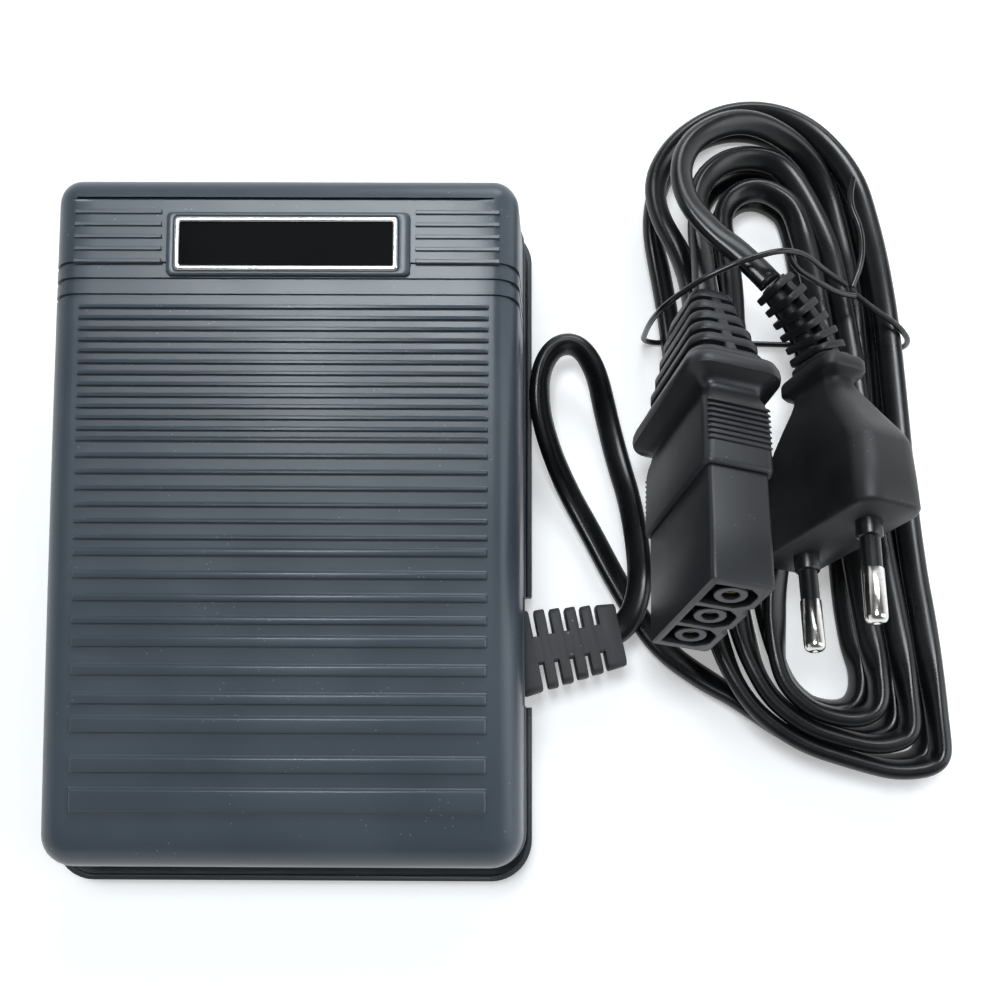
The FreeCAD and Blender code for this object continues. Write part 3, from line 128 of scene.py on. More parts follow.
def new_group(name, inputs, outputs):
    group = bpy.data.node_groups.new(name, "ShaderNodeTree")
    for label, value in inputs:
        socket = group.interface.new_socket(name=label, in_out="INPUT",
                                            socket_type="NodeSocketFloat")
        socket.default_value = value
    for label, kind in outputs:
        group.interface.new_socket(name=label, in_out="OUTPUT", socket_type=kind)
    entry = group.nodes.new("NodeGroupInput")
    leave = group.nodes.new("NodeGroupOutput")
    return group, entry, leave


def mottle_group():
    # Slow uneven cloud of tone, as moulded or handled plastic shows
    group, entry, leave = new_group(
        "mottle",
        [("Scale", 60.0), ("Detail", 4.0), ("Low", 0.3), ("High", 0.7)],
        [("Mask", "NodeSocketFloat")])
    nodes, links = group.nodes, group.links
    place = nodes.new("ShaderNodeTexCoord")
    cloud = nodes.new("ShaderNodeTexNoise")
    spread = nodes.new("ShaderNodeMapRange")
    join(links, [
        (place, "Object", cloud, "Vector"), (entry, "Scale", cloud, "Scale"),
        (entry, "Detail", cloud, "Detail"), (cloud, "Fac", spread, "Value"),
        (entry, "Low", spread, "From Min"), (entry, "High", spread, "From Max"),
        (spread, "Result", leave, "Mask")])
    return group


def grain_group():
    # Fine moulded grain and the rare speck of dust, both as masks
    group, entry, leave = new_group(
        "grain",
        [("Grain scale", 2200.0), ("Speck scale", 700.0), ("Speck size", 0.11)],
        [("Grain", "NodeSocketFloat"), ("Specks", "NodeSocketFloat")])
    nodes, links = group.nodes, group.links
    place = nodes.new("ShaderNodeTexCoord")
    fine = set_inputs(nodes.new("ShaderNodeTexNoise"), {"Detail": 3.0})
    dots = nodes.new("ShaderNodeTexVoronoi")
    near = math_node(nodes, "LESS_THAN")
    cloud = set_inputs(nodes.new("ShaderNodeTexNoise"), {"Scale": 120.0})
    some = set_inputs(math_node(nodes, "GREATER_THAN"), {1: 0.56})
    both = math_node(nodes, "MULTIPLY")
    join(links, [
        (place, "Object", fine, "Vector"), (place, "Object", dots, "Vector"),
        (place, "Object", cloud, "Vector"), (entry, "Grain scale", fine, "Scale"),
        (entry, "Speck scale", dots, "Scale"), (dots, "Distance", near, 0),
        (entry, "Speck size", near, 1), (cloud, "Fac", some, 0), (near, 0, both, 0), (some, 0, both, 1),
        (fine, "Fac", leave, "Grain"), (both, 0, leave, "Specks")])
    return group


def brush_group():
    # Long scratches along one direction of the piece
    group, entry, leave = new_group(
        "brush",
        [("Along", 20.0), ("Across", 1800.0)],
        [("Lines", "NodeSocketFloat")])
    nodes, links = group.nodes, group.links
    place = nodes.new("ShaderNodeTexCoord")
    stretch = nodes.new("ShaderNodeCombineXYZ")
    product = math_node(nodes, "MULTIPLY", "ShaderNodeVectorMath")
    lines = set_inputs(nodes.new("ShaderNodeTexNoise"), {"Scale": 1.0, "Detail": 2.0})
    join(links, [
        (entry, "Across", stretch, "X"), (entry, "Along", stretch, "Y"),
        (entry, "Across", stretch, "Z"), (place, "Object", product, 0), (stretch, "Vector", product, 1),
        (product, "Vector", lines, "Vector"), (lines, "Fac", leave, "Lines")])
    return group


GRAIN_HEIGHT = 0.05
LINE_HEIGHT = 0.02
MOTTLE = mottle_group()
GRAIN = grain_group()
BRUSH = brush_group()


def new_material(name, roughness=0.5, metallic=0.0, specular=0.5):
    material = bpy.data.materials.new(name)
    material.use_nodes = True
    shader = material.node_tree.nodes["Principled BSDF"]
    set_inputs(shader, {"Roughness": roughness, "Metallic": metallic, "Specular IOR Level": specular})
    return material, shader


def use_group(material, group, values):
    node = material.node_tree.nodes.new("ShaderNodeGroup")
    node.node_tree = group
    return set_inputs(node, values)


def tone_between(material, mask, dark, light, shader):
    tones = material.node_tree.nodes.new("ShaderNodeMix")
    tones.data_type = "RGBA"
    set_inputs(tones, {6: (*dark, 1.0), 7: (*light, 1.0)})
    links = material.node_tree.links
    links.new(mask, tones.inputs[0])
    links.new(tones.outputs[2], shader.inputs["Base Color"])
    return tones


def value_between(material, mask, low, high, socket):
    spread = material.node_tree.nodes.new("ShaderNodeMapRange")
    set_inputs(spread, {"To Min": low, "To Max": high})
    links = material.node_tree.links
    links.new(mask, spread.inputs["Value"])
    links.new(spread.outputs["Result"], socket)


def raise_by(material, height, strength, distance, shader):
    bump = material.node_tree.nodes.new("ShaderNodeBump")
    set_inputs(bump, {"Strength": strength, "Distance": distance})
    links = material.node_tree.links
    links.new(height, bump.inputs["Height"])
    links.new(bump.outputs["Normal"], shader.inputs["Normal"])


def moulded(name, dark, light, smooth, rough, grain=0.15, specks=None, scale=60.0,
            grain_scale=2200.0, specular=0.5):
    # Moulded plastic or rubber: two close tones, uneven gloss, fine grain
    material, shader = new_material(name, specular=specular)
    mottle = use_group(material, MOTTLE, {"Scale": scale})
    fine = use_group(material, GRAIN, {"Grain scale": grain_scale})
    tones = tone_between(material, mottle.outputs["Mask"], dark, light, shader)
    value_between(material, mottle.outputs["Mask"], smooth, rough, shader.inputs["Roughness"])
    raise_by(material, fine.outputs["Grain"], grain, GRAIN_HEIGHT * mm, shader)
    if specks is not None:
        dust = material.node_tree.nodes.new("ShaderNodeMix")
        dust.data_type = "RGBA"
        dust.inputs[7].default_value = (*specks, 1.0)
        join(material.node_tree.links, [
            (fine, "Specks", dust, 0), (tones, 2, dust, 6), (dust, 2, shader, "Base Color")])
    return material


def metal(name, dark, light, smooth, rough, along=20.0, across=1800.0, bump=0.05):
    # Turned, stamped or plated metal: faint drawn lines in tone and gloss
    material, shader = new_material(name, metallic=1.0)
    lines = use_group(material, BRUSH, {"Along": along, "Across": across})
    tone_between(material, lines.outputs["Lines"], dark, light, shader)
    value_between(material, lines.outputs["Lines"], smooth, rough, shader.inputs["Roughness"])
    raise_by(material, lines.outputs["Lines"], bump, LINE_HEIGHT * mm, shader)
    return material


COVER_BLUE = moulded("cover_plastic", (0.046, 0.060, 0.076), (0.058, 0.074, 0.091),
                     0.30, 0.38, 0.08, (0.14, 0.16, 0.18), 45.0, 2600.0)
BASE_GREY = moulded("base_plastic", (0.028, 0.034, 0.040), (0.036, 0.043, 0.050),
                    0.42, 0.52, 0.14, (0.12, 0.13, 0.14))
CORD_BLACK = moulded("cord_pvc", (0.0045, 0.0048, 0.0055), (0.0070, 0.0073, 0.0082),
                     0.24, 0.34, 0.04, None, 90.0)
GROMMET_GREY = moulded("grommet_pvc", (0.024, 0.024, 0.026), (0.042, 0.042, 0.045),
                       0.55, 0.7, 0.5, (0.20, 0.20, 0.21), 200.0, 1500.0)
CONNECTOR_GREY = moulded("connector_pvc", (0.009, 0.010, 0.012), (0.014, 0.015, 0.018),
                         0.36, 0.46, 0.12, (0.06, 0.06, 0.065))
PLUG_BLACK = moulded("plug_pvc", (0.007, 0.007, 0.008), (0.012, 0.012, 0.014),
                     0.42, 0.55, 0.35, (0.05, 0.05, 0.055), 120.0, 1700.0)
SLEEVE_BLACK = moulded("sleeve_plastic", (0.008, 0.008, 0.009), (0.012, 0.012, 0.013), 0.25, 0.35)
PLATE_BLACK = moulded("plate_black", (0.004, 0.004, 0.005), (0.006, 0.006, 0.007), 0.10, 0.18, 0.03,
                      specular=0.004)
BORDER_SILVER = metal("border_metal", (0.62, 0.63, 0.64), (0.80, 0.81, 0.82), 0.18, 0.30)
PIN_NICKEL = metal("pin_nickel", (0.62, 0.60, 0.57), (0.86, 0.84, 0.81), 0.12, 0.24, 1800.0, 400.0)
SPRING_STEEL = metal("spring_steel", (0.30, 0.30, 0.31), (0.48, 0.48, 0.49), 0.28, 0.42)
CONTACT_BRASS = metal("contact_brass", (0.12, 0.10, 0.06), (0.24, 0.19, 0.12), 0.35, 0.5)


# Forms: skins over rings of points, worked out in millimetres

class Form:
    # Points and faces of one piece, gathered shell by shell
    def __init__(self):
        self.points = []
        self.faces = []

    def skin(self, rings, closed=False, capped=True):
        # Rings of equal count, capped at both ends unless left open or the last meets the first
        start = len(self.points)
        n = len(rings[0])
        count = len(rings)
        for ring in rings:
            self.points.extend(ring)
        for i in range(count if closed else count - 1):
            a = start + i * n
            b = start + ((i + 1) % count) * n
            for j in range(n):
                k = (j + 1) % n
                self.faces.append((a + j, a + k, b + k, b + j))
        if capped and not closed:
            last = start + (count - 1) * n
            self.faces.append(tuple(start + j for j in range(n))[::-1])
            self.faces.append(tuple(last + j for j in range(n)))

    def piece(self, name, material, angle=35.0):
        piece = new_piece(name, self.points, self.faces, material)
        face_outwards(piece)
        shade(piece, angle)
        return piece


def skin_only(name, rings, material):
    form = Form()
    form.skin(rings)
    return new_piece(name, form.points, form.faces, material)


def skinned(name, rings, material, angle, closed=False):
    form = Form()
    form.skin(rings, closed)
    return form.piece(name, material, angle)


def placing(origin, x_dir, z_dir):
    # Turns millimetres along a piece's own axes into a place in the scene
    z = z_dir.normalized()
    x = (x_dir - z * x_dir.dot(z)).normalized()
    y = z.cross(x)

    def place(px, py, pz):
        return origin + (x * px + y * py + z * pz) * mm

    place.turn = Matrix((x, y, z)).transposed()
    return place


def box_outline(half_x, half_y, radius, steps=6):
    radius = min(radius, half_x, half_y)
    outline = []
    for sx, sy, start in ((1, -1, -90.0), (1, 1, 0.0), (-1, 1, 90.0), (-1, -1, 180.0)):
        for i in range(steps + 1):
            a = math.radians(start + 90.0 * i / steps)
            outline.append((sx * (half_x - radius) + radius * math.cos(a),
                            sy * (half_y - radius) + radius * math.sin(a)))
    return outline


def box_rings(place, rows, centre=(0.0, 0.0), steps=6):
    # One rounded rectangle for each row of width, thickness, corner radius and height
    rings = []
    for w, t, r, z in rows:
        outline = box_outline(w / 2.0, t / 2.0, r, steps)
        rings.append([place(centre[0] + x, centre[1] + y, z) for x, y in outline])
    return rings


def round_rings(place, rows, centre=(0.0, 0.0), steps=32):
    rings = []
    for r, z in rows:
        ring = []
        for i in range(steps):
            a = 2.0 * math.pi * i / steps
            ring.append(place(centre[0] + r * math.cos(a), centre[1] + r * math.sin(a), z))
        rings.append(ring)
    return rings


# Pieces that repeat, placed by a tree of geometry nodes

def repeat_tree():
    tree = bpy.data.node_groups.new("repeated_piece", "GeometryNodeTree")
    sockets = {}
    for label, kind in (("Places", "NodeSocketGeometry"), ("Piece", "NodeSocketObject"),
                        ("Finish", "NodeSocketMaterial"), ("Spread", "NodeSocketFloat")):
        sockets[label] = tree.interface.new_socket(name=label, in_out="INPUT", socket_type=kind)
    tree.interface.new_socket(name="Geometry", in_out="OUTPUT", socket_type="NodeSocketGeometry")
    nodes, links = tree.nodes, tree.links
    entry = nodes.new("NodeGroupInput")
    leave = nodes.new("NodeGroupOutput")
    shape = nodes.new("GeometryNodeObjectInfo")
    spots = nodes.new("GeometryNodeMeshToPoints")
    copies = nodes.new("GeometryNodeInstanceOnPoints")
    real = nodes.new("GeometryNodeRealizeInstances")
    widen = nodes.new("GeometryNodeSetPosition")
    finish = nodes.new("GeometryNodeSetMaterial")
    read = {}
    for label, kind in (("turn", "FLOAT_VECTOR"), ("size", "FLOAT_VECTOR"), ("along", "FLOAT_VECTOR"),
                        ("room", "FLOAT"), ("side", "FLOAT")):
        read[label] = nodes.new("GeometryNodeInputNamedAttribute")
        read[label].data_type = kind
        read[label].inputs["Name"].default_value = label
    reach = math_node(nodes, "MULTIPLY")
    spread = math_node(nodes, "MULTIPLY")
    push = math_node(nodes, "SCALE", "ShaderNodeVectorMath")
    join(links, [
        (entry, "Piece", shape, "Object"), (entry, "Places", spots, "Mesh"),
        (spots, "Points", copies, "Points"), (shape, "Geometry", copies, "Instance"),
        (read["turn"], "Attribute", copies, "Rotation"), (read["size"], "Attribute", copies, "Scale"),
        (copies, "Instances", real, "Geometry"), (read["side"], "Attribute", reach, 0),
        (read["room"], "Attribute", reach, 1), (reach, 0, spread, 0), (entry, "Spread", spread, 1),
        (read["along"], "Attribute", push, 0), (spread, 0, push, "Scale"),
        (real, "Geometry", widen, "Geometry"), (push, "Vector", widen, "Offset"),
        (widen, "Geometry", finish, "Geometry"), (entry, "Finish", finish, "Material"),
        (finish, "Geometry", leave, "Geometry")])
    return tree, sockets


REPEAT, REPEAT_SOCKETS = repeat_tree()
NO_TURN = (0.0, 0.0, 0.0)
# Each side of a repeated piece moves out by this share of its width
HALF_WIDTH = 0.5


def repeated(name, unit_piece, places, material, angle=35.0):
    # places: rows of place, turn, size, direction of widening, width
    spots = new_piece(name + "_places", [row[0] for row in places], [], None)
    for label, kind, column in (("turn", "FLOAT_VECTOR", 1), ("size", "FLOAT_VECTOR", 2),
                                ("along", "FLOAT_VECTOR", 3), ("room", "FLOAT", 4)):
        layer = spots.data.attributes.new(label, kind, "POINT")
        for i, row in enumerate(places):
            if kind == "FLOAT":
                layer.data[i].value = row[column]
            else:
                layer.data[i].vector = row[column]
    modifier = spots.modifiers.new("repeat", "NODES")
    modifier.node_group = REPEAT
    modifier[REPEAT_SOCKETS["Piece"].identifier] = unit_piece
    modifier[REPEAT_SOCKETS["Finish"].identifier] = material
    modifier[REPEAT_SOCKETS["Spread"].identifier] = HALF_WIDTH
    bpy.context.view_layer.update()
    evaluated = spots.evaluated_get(bpy.context.evaluated_depsgraph_get())
    mesh = bpy.data.meshes.new_from_object(evaluated)
    spots.modifiers.clear()
    bpy.data.objects.remove(spots)
    bpy.data.objects.remove(unit_piece)
    mesh.name = name
    mesh.materials.clear()
    piece = piece_of(mesh, material)
    face_outwards(piece)
    shade(piece, angle)
    return piece


def local(px, py, pz):
    return Vector((px, py, pz)) * mm


# Treadle

COVER_X = 45.35
COVER_Y = 64.9
COVER_CORNER = 6.5
TOP_NEAR_Z = 23.3
TOP_SLOPE = 0.146
TOP_HALF_Y = 64.3
CROWN = 0.8
RIM_LOW = 7.0
RIM_RISE = 12.0
DRAFT = 0.056
SHOULDER = 5.0
COVER_WALL = 2.3
WRAP_GROOVES = (45.76, 42.78, 39.8)
LINE_GROOVE = (57.55, 58.15)
GROOVE_DEPTH = 0.6
RIB_GROUPS = ((12, 2.05, 1.0), (7, 2.98, 1.2), (4, 4.1, 1.85), (3, 5.15, 2.45), (2, 7.1, 3.4),
              (1, 9.35, 4.75))
RIB_FIRST = 37.2
FINE_RIBS = (46.3, 48.6, 50.9, 53.2, 55.5)
FINE_SPANS = ((-39.2, -22.9), (24.4, 40.1))
FRAME = (-21.9, 23.4, 43.4, 55.4)
BORDER = (-20.4, 21.2, 44.3, 54.5)
# From where to where along the right side, and how high
NOTCH = (-34.5, -13.5, 16.0)
NOTCH_SIDE = 30.0
WRAP_HALF = 0.38
LINE_GROOVE_X = (-39.5, 38.0)
GRID_Y = 40
GRID_X = 24
CORNER_STEPS = 7
SHOULDER_STEPS = 8
RIM_BEAD = ((-0.15, 0.0), (-0.35, 0.2), (-0.35, 1.1), (-0.12, 1.45), (0.05, 1.6))
BEAD_TOP = 1.8
SHOULDER_BACK = 0.14
SKIN_SLACK = 0.02
FINE_RIB_HIGH = 0.56
FINE_RIB_WIDE = 0.35
RIB_LENGTH = 76.2
RIB_FLANKS = 0.6
WRAP_EDGES = (-0.44, -0.36, 0.36, 0.44)
LINE_EDGE = 0.07
LINE_DEPTH = 0.8
EDGE_GAP = 0.04
FRAME_GAP = 0.02
GRID_CLEAR = 0.3
# What lies nearer than this to the solid's sides and shoulder is its skin, and not what it carries
INSIDE_MARGIN = 2.2
INSIDE_NEAREST = 4.6
INSIDE_SHOULDER = 7.6
INSIDE_DROP = 4.0


def cover_top(y):
    return TOP_NEAR_Z + TOP_SLOPE * (y + TOP_HALF_Y) + CROWN * (1.0 - (y / TOP_HALF_Y) ** 2)


def cover_slope(y):
    return TOP_SLOPE - 2.0 * CROWN * y / TOP_HALF_Y ** 2


def cover_rim(x, y):
    low = RIM_LOW + RIM_RISE * (y + COVER_Y) / (2.0 * COVER_Y)
    if x > NOTCH_SIDE and NOTCH[0] < y < NOTCH[1]:
        low = max(low, NOTCH[2])
    return low


def groove_depth(x, y):
    for place in WRAP_GROOVES:
        if abs(y - place) < WRAP_HALF:
            if place == WRAP_GROOVES[0] and FRAME[0] < x < FRAME[1]:
                return 0.0
            return GROOVE_DEPTH
    along = LINE_GROOVE[0] + EDGE_GAP < y < LINE_GROOVE[1] - EDGE_GAP
    if along and LINE_GROOVE_X[0] < x < LINE_GROOVE_X[1]:
        return GROOVE_DEPTH * LINE_DEPTH
    return 0.0


def cover_lines():
    # Where the grid has its lines, close together at grooves and notches
    straight_y = COVER_Y - COVER_CORNER
    straight_x = COVER_X - COVER_CORNER
    ys = {-straight_y, straight_y}
    for i in range(1, GRID_Y):
        ys.add(-straight_y + 2.0 * straight_y * i / GRID_Y)
    edges = []
    for place in WRAP_GROOVES:
        edges += [place + edge for edge in WRAP_EDGES]
    edges += [LINE_GROOVE[0], LINE_GROOVE[0] + LINE_EDGE, LINE_GROOVE[1] - LINE_EDGE, LINE_GROOVE[1]]
    edges += [place + gap for place in NOTCH[:2] for gap in (-EDGE_GAP, EDGE_GAP)]
    ys = [y for y in ys if min(abs(y - e) for e in edges) > GRID_CLEAR]
    xs = [-straight_x + 2.0 * straight_x * i / GRID_X for i in range(GRID_X + 1)]
    xs += [place + gap for place in FRAME[:2] for gap in (-FRAME_GAP, FRAME_GAP)]
    return sorted(xs), sorted(ys + edges)


def cover_stations(xs, ys):
    # Once round the outline: which side or corner, and where on it
    stations = []
    sides = (("right", ys, 1, 1), ("far", xs[::-1], -1, 1), ("left", ys[::-1], -1, -1),
             ("near", xs, 1, -1))
    for quarter, (side, marks, sx, sy) in enumerate(sides):
        stations += [(side, mark) for mark in marks]
        for i in range(1, CORNER_STEPS):
            stations.append(("corner", sx, sy, 90.0 * quarter + 90.0 * i / CORNER_STEPS))
    return stations


def station_place(station, inset):
    kind = station[0]
    if kind in ("right", "left"):
        return (COVER_X - inset) * (1 if kind == "right" else -1), station[1]
    if kind in ("far", "near"):
        return station[1], (COVER_Y - inset) * (1 if kind == "far" else -1)
    back = max(COVER_CORNER, inset)
    radius = max(COVER_CORNER - inset, 0.0)
    a = math.radians(station[3])
    return (station[1] * (COVER_X - back) + radius * math.cos(a),
            station[2] * (COVER_Y - back) + radius * math.sin(a))


def cover_column(station, wall):
    # From the rim up the side and round the shoulder, for the outside or the inside
    column = []
    x, y = station_place(station, wall)
    rim = cover_rim(x, y)
    if wall == 0.0:
        for inset, rise in RIM_BEAD:
            x, y = station_place(station, inset + DRAFT * (rim - RIM_LOW))
            column.append((x, y, cover_rim(x, y) + rise))
    else:
        x, y = station_place(station, wall + DRAFT * (rim - RIM_LOW))
        column.append((x, y, cover_rim(x, y)))
    depth = 0.0
    if station[0] in ("left", "right") and wall == 0.0:
        depth = groove_depth(x, y)
    high = cover_top(y) - SHOULDER
    for k in (0.35, 0.7, 1.0):
        z = rim + BEAD_TOP + (high - rim - BEAD_TOP) * k
        x, y = station_place(station, wall + depth + DRAFT * (z - RIM_LOW))
        column.append((x, y, z))
    flank = DRAFT * (high - RIM_LOW) + SHOULDER_BACK
    share = (COVER_CORNER - flank) / SHOULDER
    full = math.acos(max(0.0, min(1.0, 1.0 - share)))
    for i in range(1, SHOULDER_STEPS):
        a = full * i / SHOULDER_STEPS
        radius = SHOULDER - wall - depth
        inset = flank + SHOULDER - radius * math.cos(a)
        x, y = station_place(station, min(inset, COVER_CORNER))
        column.append((x, y, cover_top(y) - SHOULDER + radius * math.sin(a)))
    x, y = station_place(station, COVER_CORNER)
    depth = groove_depth(x, y) if wall == 0.0 else 0.0
    column.append((x, y, cover_top(y) - wall - depth))
    return column


def cover_rings(stations, wall):
    columns = [cover_column(station, wall) for station in stations]
    return [[local(*spot) for spot in ring] for ring in zip(*columns)]


def cover_shell():
    xs, ys = cover_lines()
    stations = cover_stations(xs, ys)
    form = Form()
    form.skin(cover_rings(stations, 0.0)[::-1] + cover_rings(stations, COVER_WALL), capped=False)
    for wall in (0.0, COVER_WALL):
        first = len(form.points)
        for y in ys:
            for x in xs:
                depth = groove_depth(x, y) if wall == 0.0 else 0.0
                form.points.append(local(x, y, cover_top(y) - wall - depth))
        across = len(xs)
        for i in range(len(ys) - 1):
            for j in range(across - 1):
                a = first + i * across + j
                form.faces.append((a, a + 1, a + across + 1, a + across))
    add_plate_frame(form)
    return form.piece("treadle_shell", COVER_BLUE, 40.0)


def plate_rings(rows):
    # One rounded rectangle on the slope of the top for each row of area, growth, radius and height
    middle = (FRAME[2] + FRAME[3]) / 2.0
    normal = Vector((0.0, -cover_slope(middle), 1.0))
    place = placing(local(0.0, middle, cover_top(middle)), RIGHT, normal)
    rings = []
    for (x0, x1, y0, y1), grow, radius, height in rows:
        outline = box_outline((x1 - x0) / 2.0 + grow, (y1 - y0) / 2.0 + grow, radius)
        cx = (x0 + x1) / 2.0
        cy = (y0 + y1) / 2.0 - middle
        rings.append([place(cx + x, cy + y, height) for x, y in outline])
    return rings


def add_plate_frame(form):
    rows = [(FRAME, 0.1, 1.0, -1.0), (FRAME, 0.0, 1.0, 0.65), (FRAME, -0.10, 0.95, 0.88),
            (FRAME, -0.32, 0.85, 1.0), (BORDER, 0.30, 1.0, 1.0), (BORDER, 0.12, 0.9, 0.92),
            (BORDER, 0.05, 0.85, 0.75), (BORDER, 0.05, 0.85, -0.6)]
    form.skin(plate_rings(rows), closed=True)


def plate_border():
    rows = [(BORDER, 0.0, 0.8, 0.02), (BORDER, 0.0, 0.8, 0.9), (BORDER, -0.12, 0.75, 1.08),
            (BORDER, -0.32, 0.65, 1.15), (BORDER, -0.68, 0.5, 1.15), (BORDER, -0.88, 0.45, 1.08),
            (BORDER, -0.98, 0.4, 0.92), (BORDER, -0.98, 0.4, 0.02)]
    return skinned("plate_border", plate_rings(rows), BORDER_SILVER, 50.0, closed=True)


def plate():
    rows = [(BORDER, -1.0, 0.4, 0.02), (BORDER, -1.0, 0.4, 0.62), (BORDER, -1.12, 0.35, 0.75)]
    return skinned("plate", plate_rings(rows), PLATE_BLACK, 30.0)


def rib_bar():
    # One rib of no width yet: its two sides move apart by the width asked for
    profile = ((0.34, -0.4), (0.30, 0.04), (0.10, 0.18), (0.02, 0.42), (-0.05, 0.64),
               (-0.18, 0.77), (-0.42, 0.80))
    ends = ((-38.10, 0.0), (-38.02, 0.45), (-37.85, 0.80), (-37.55, 1.0),
            (37.55, 1.0), (37.85, 0.80), (38.02, 0.45), (38.10, 0.0))
    rings = []
    for x, share in ends:
        ring = [local(x, -out, low if low < 0.0 else low * share) for out, low in profile]
        ring += [local(x, out, low if low < 0.0 else low * share) for out, low in profile[::-1]]
        rings.append(ring)
    piece = skin_only("rib_bar", rings, COVER_BLUE)
    layer = piece.data.attributes.new("side", "FLOAT", "POINT")
    n = len(profile)
    for i in range(len(ends) * 2 * n):
        layer.data[i].value = -1.0 if i % (2 * n) < n else 1.0
    return piece


def rib_places():
    places = []
    y = RIB_FIRST
    for count, pitch, width in RIB_GROUPS:
        for _ in range(count):
            places.append((0.0, y + width / 2.0, 1.0, 1.0, width - RIB_FLANKS))
            y -= pitch
    for x0, x1 in FINE_SPANS:
        for y in FINE_RIBS:
            places.append(((x0 + x1) / 2.0, y, (x1 - x0) / RIB_LENGTH, FINE_RIB_HIGH, FINE_RIB_WIDE))
    rows = []
    for x, y, long, high, width in places:
        tilt = math.atan(cover_slope(y))
        rows.append((local(x, y, cover_top(y)), (tilt, 0.0, 0.0), (long, 1.0, high),
                     (0.0, math.cos(tilt), math.sin(tilt)), width * mm))
    return rows


def inner_parts(node, keep):
    # What the shell carries inside, as its solid has it
    work = merged(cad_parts[node].data)
    lost = [face for face in work.faces if not keep([v.co / mm for v in face.verts])]
    bmesh.ops.delete(work, geom=lost, context="FACES")
    return finished(work, node + "_inside", COVER_BLUE)


def under_cover(corners):
    on_skin = 0
    for x, y, z in corners:
        if abs(x) > COVER_X - INSIDE_MARGIN or abs(y) > COVER_Y - INSIDE_MARGIN:
            return False
        roof = cover_top(y) - COVER_WALL
        if z > roof + SKIN_SLACK:
            return False
        if z > roof - SKIN_SLACK:
            on_skin += 1
        shoulder = min(COVER_X - abs(x), COVER_Y - abs(y))
        if shoulder < INSIDE_SHOULDER and z > roof - INSIDE_DROP:
            return False
        if shoulder < INSIDE_NEAREST:
            return False
    return on_skin < len(corners)


# Cords, in millimetres until their points are placed

CORD_WIDTH = 5.2
CORD_THICK = 3.2
SECTION_STEPS = 20
SECTION_FLAT = 1.6
UV_PER_METRE = 10.0
SPLINE_ORDER = 3
SPLINE_STEPS = 10
LAYER_1 = 2.3
LAYER_2 = 7.3

HANK_TOP = Vector((95.0, 68.5, 0.0))
HANK_BOTTOM = Vector((113.5, -31.5, 0.0))
HANK_DOWN = (HANK_BOTTOM - HANK_TOP).normalized()
HANK_RIGHT = Vector((-HANK_DOWN.y, HANK_DOWN.x, 0.0))
TOP_SHIFT = 1.3
TURN_TOP = (8.2, 13.0, 17.8, 22.6)
TURN_LIFT = 1.1
# Corners of the low turn: how far down, how far right, and how both grow outwards
LOW_LEFT = (84.0, -15.0, 0.0, -1.15)
LOW_CORNERS = ((94.4, -15.0, 0.31, -0.92), (101.0, -11.6, 0.66, -0.44), (103.4, -7.2, 0.99, 0.20),
               (103.9, -3.2, 1.25, 0.52), (102.0, -0.4, 1.43, 1.03), (97.8, 1.0, 1.28, 1.03))
LOW_RAISE = 0.5
TOP_RAISE = 0.12
LOW_RIGHT = (95.0, 0.9, 0.0, 1.25)
COLUMN_1 = (0.0, 4.97, 9.97)
COLUMN_2 = (1.9, 6.6, 11.0)
TIE_AT = 26.0
TIE_RISE = 1.35
CROSS_TUCK = 4.6
RUN_MARKS = (6.0, 16.0, 28.0, 45.0, 64.0, 80.0)
RUN_LAST = 90.0
LAYER_CHANGE = 50.0
# The crossing run leaves its tuck over this length before the top, and these say where
# on its way up it starts to go over, to drop and to roll, and over what length
CROSS_TUCK_LENGTH = 40.0
CROSS_OVER = (88.0, 60.0)
CROSS_DROP = (78.0, 38.0)
CROSS_ROLL = (84.0, 78.0)
CROSS_MARKS = (82.0, 74.0, 66.0, 58.0, 50.0, 41.0, 31.0, 20.0, 9.0)
HANK_ROLL = 32
TOP_ROLL = 50
LOW_ROLL = 68
# How far in the top turn is drawn, point by point from its left to its right
TOP_DRAW = (1.0, 1.0, 0.98, 0.93, 0.87, 0.92)
TOP_FIRST = 15.0
TOP_STEP = 30.0

# Each point of a free stretch: its place, and the roll of the flat cord there in degrees
PEDAL_CORD = [
    (60.5, -20.85, 7.5, 0), (64.4, -19.9, 7.9, 10), (67.8, -14.3, 9.8, 30),
    (68.7, -6.6, 9.8, 35), (67.6, 7.5, 3.6, 35), (64.9, 17.5, 2.4, 30),
    (62.6, 27.0, 3.4, 38), (60.3, 35.8, 7.2, 52), (56.6, 41.0, 8.4, 62),
    (51.8, 40.8, 8.5, 62), (48.6, 35.6, 8.6, 58), (48.2, 27.5, 8.6, 50),
    (50.3, 19.6, 6.4, 45), (54.2, 11.0, 2.5, 35), (59.3, 1.6, 2.3, 30),
    (63.8, -7.4, 2.3, 30), (68.6, -15.6, 2.3, 25), (73.8, -22.7, 2.3, 25),
    (81.0, -28.0, 2.3, 30), (89.4, -32.8, 2.4, 50),
]
PEDAL_TAIL = [
    (116.6, 80.6, 7.3, 35), (106.0, 92.9, 7.5, 40), (91.2, 95.2, 8.0, 45),
    (77.6, 87.2, 8.8, 45), (71.6, 73.8, 9.2, 40),
]
MAINS_TAIL = [
    (81.4, 64.5, 15.0, -40), (82.0, 74.8, 12.0, -45), (87.4, 81.6, 10.2, -45),
    (95.2, 83.8, 8.7, -40), (102.6, 81.4, 7.6, -36),
]
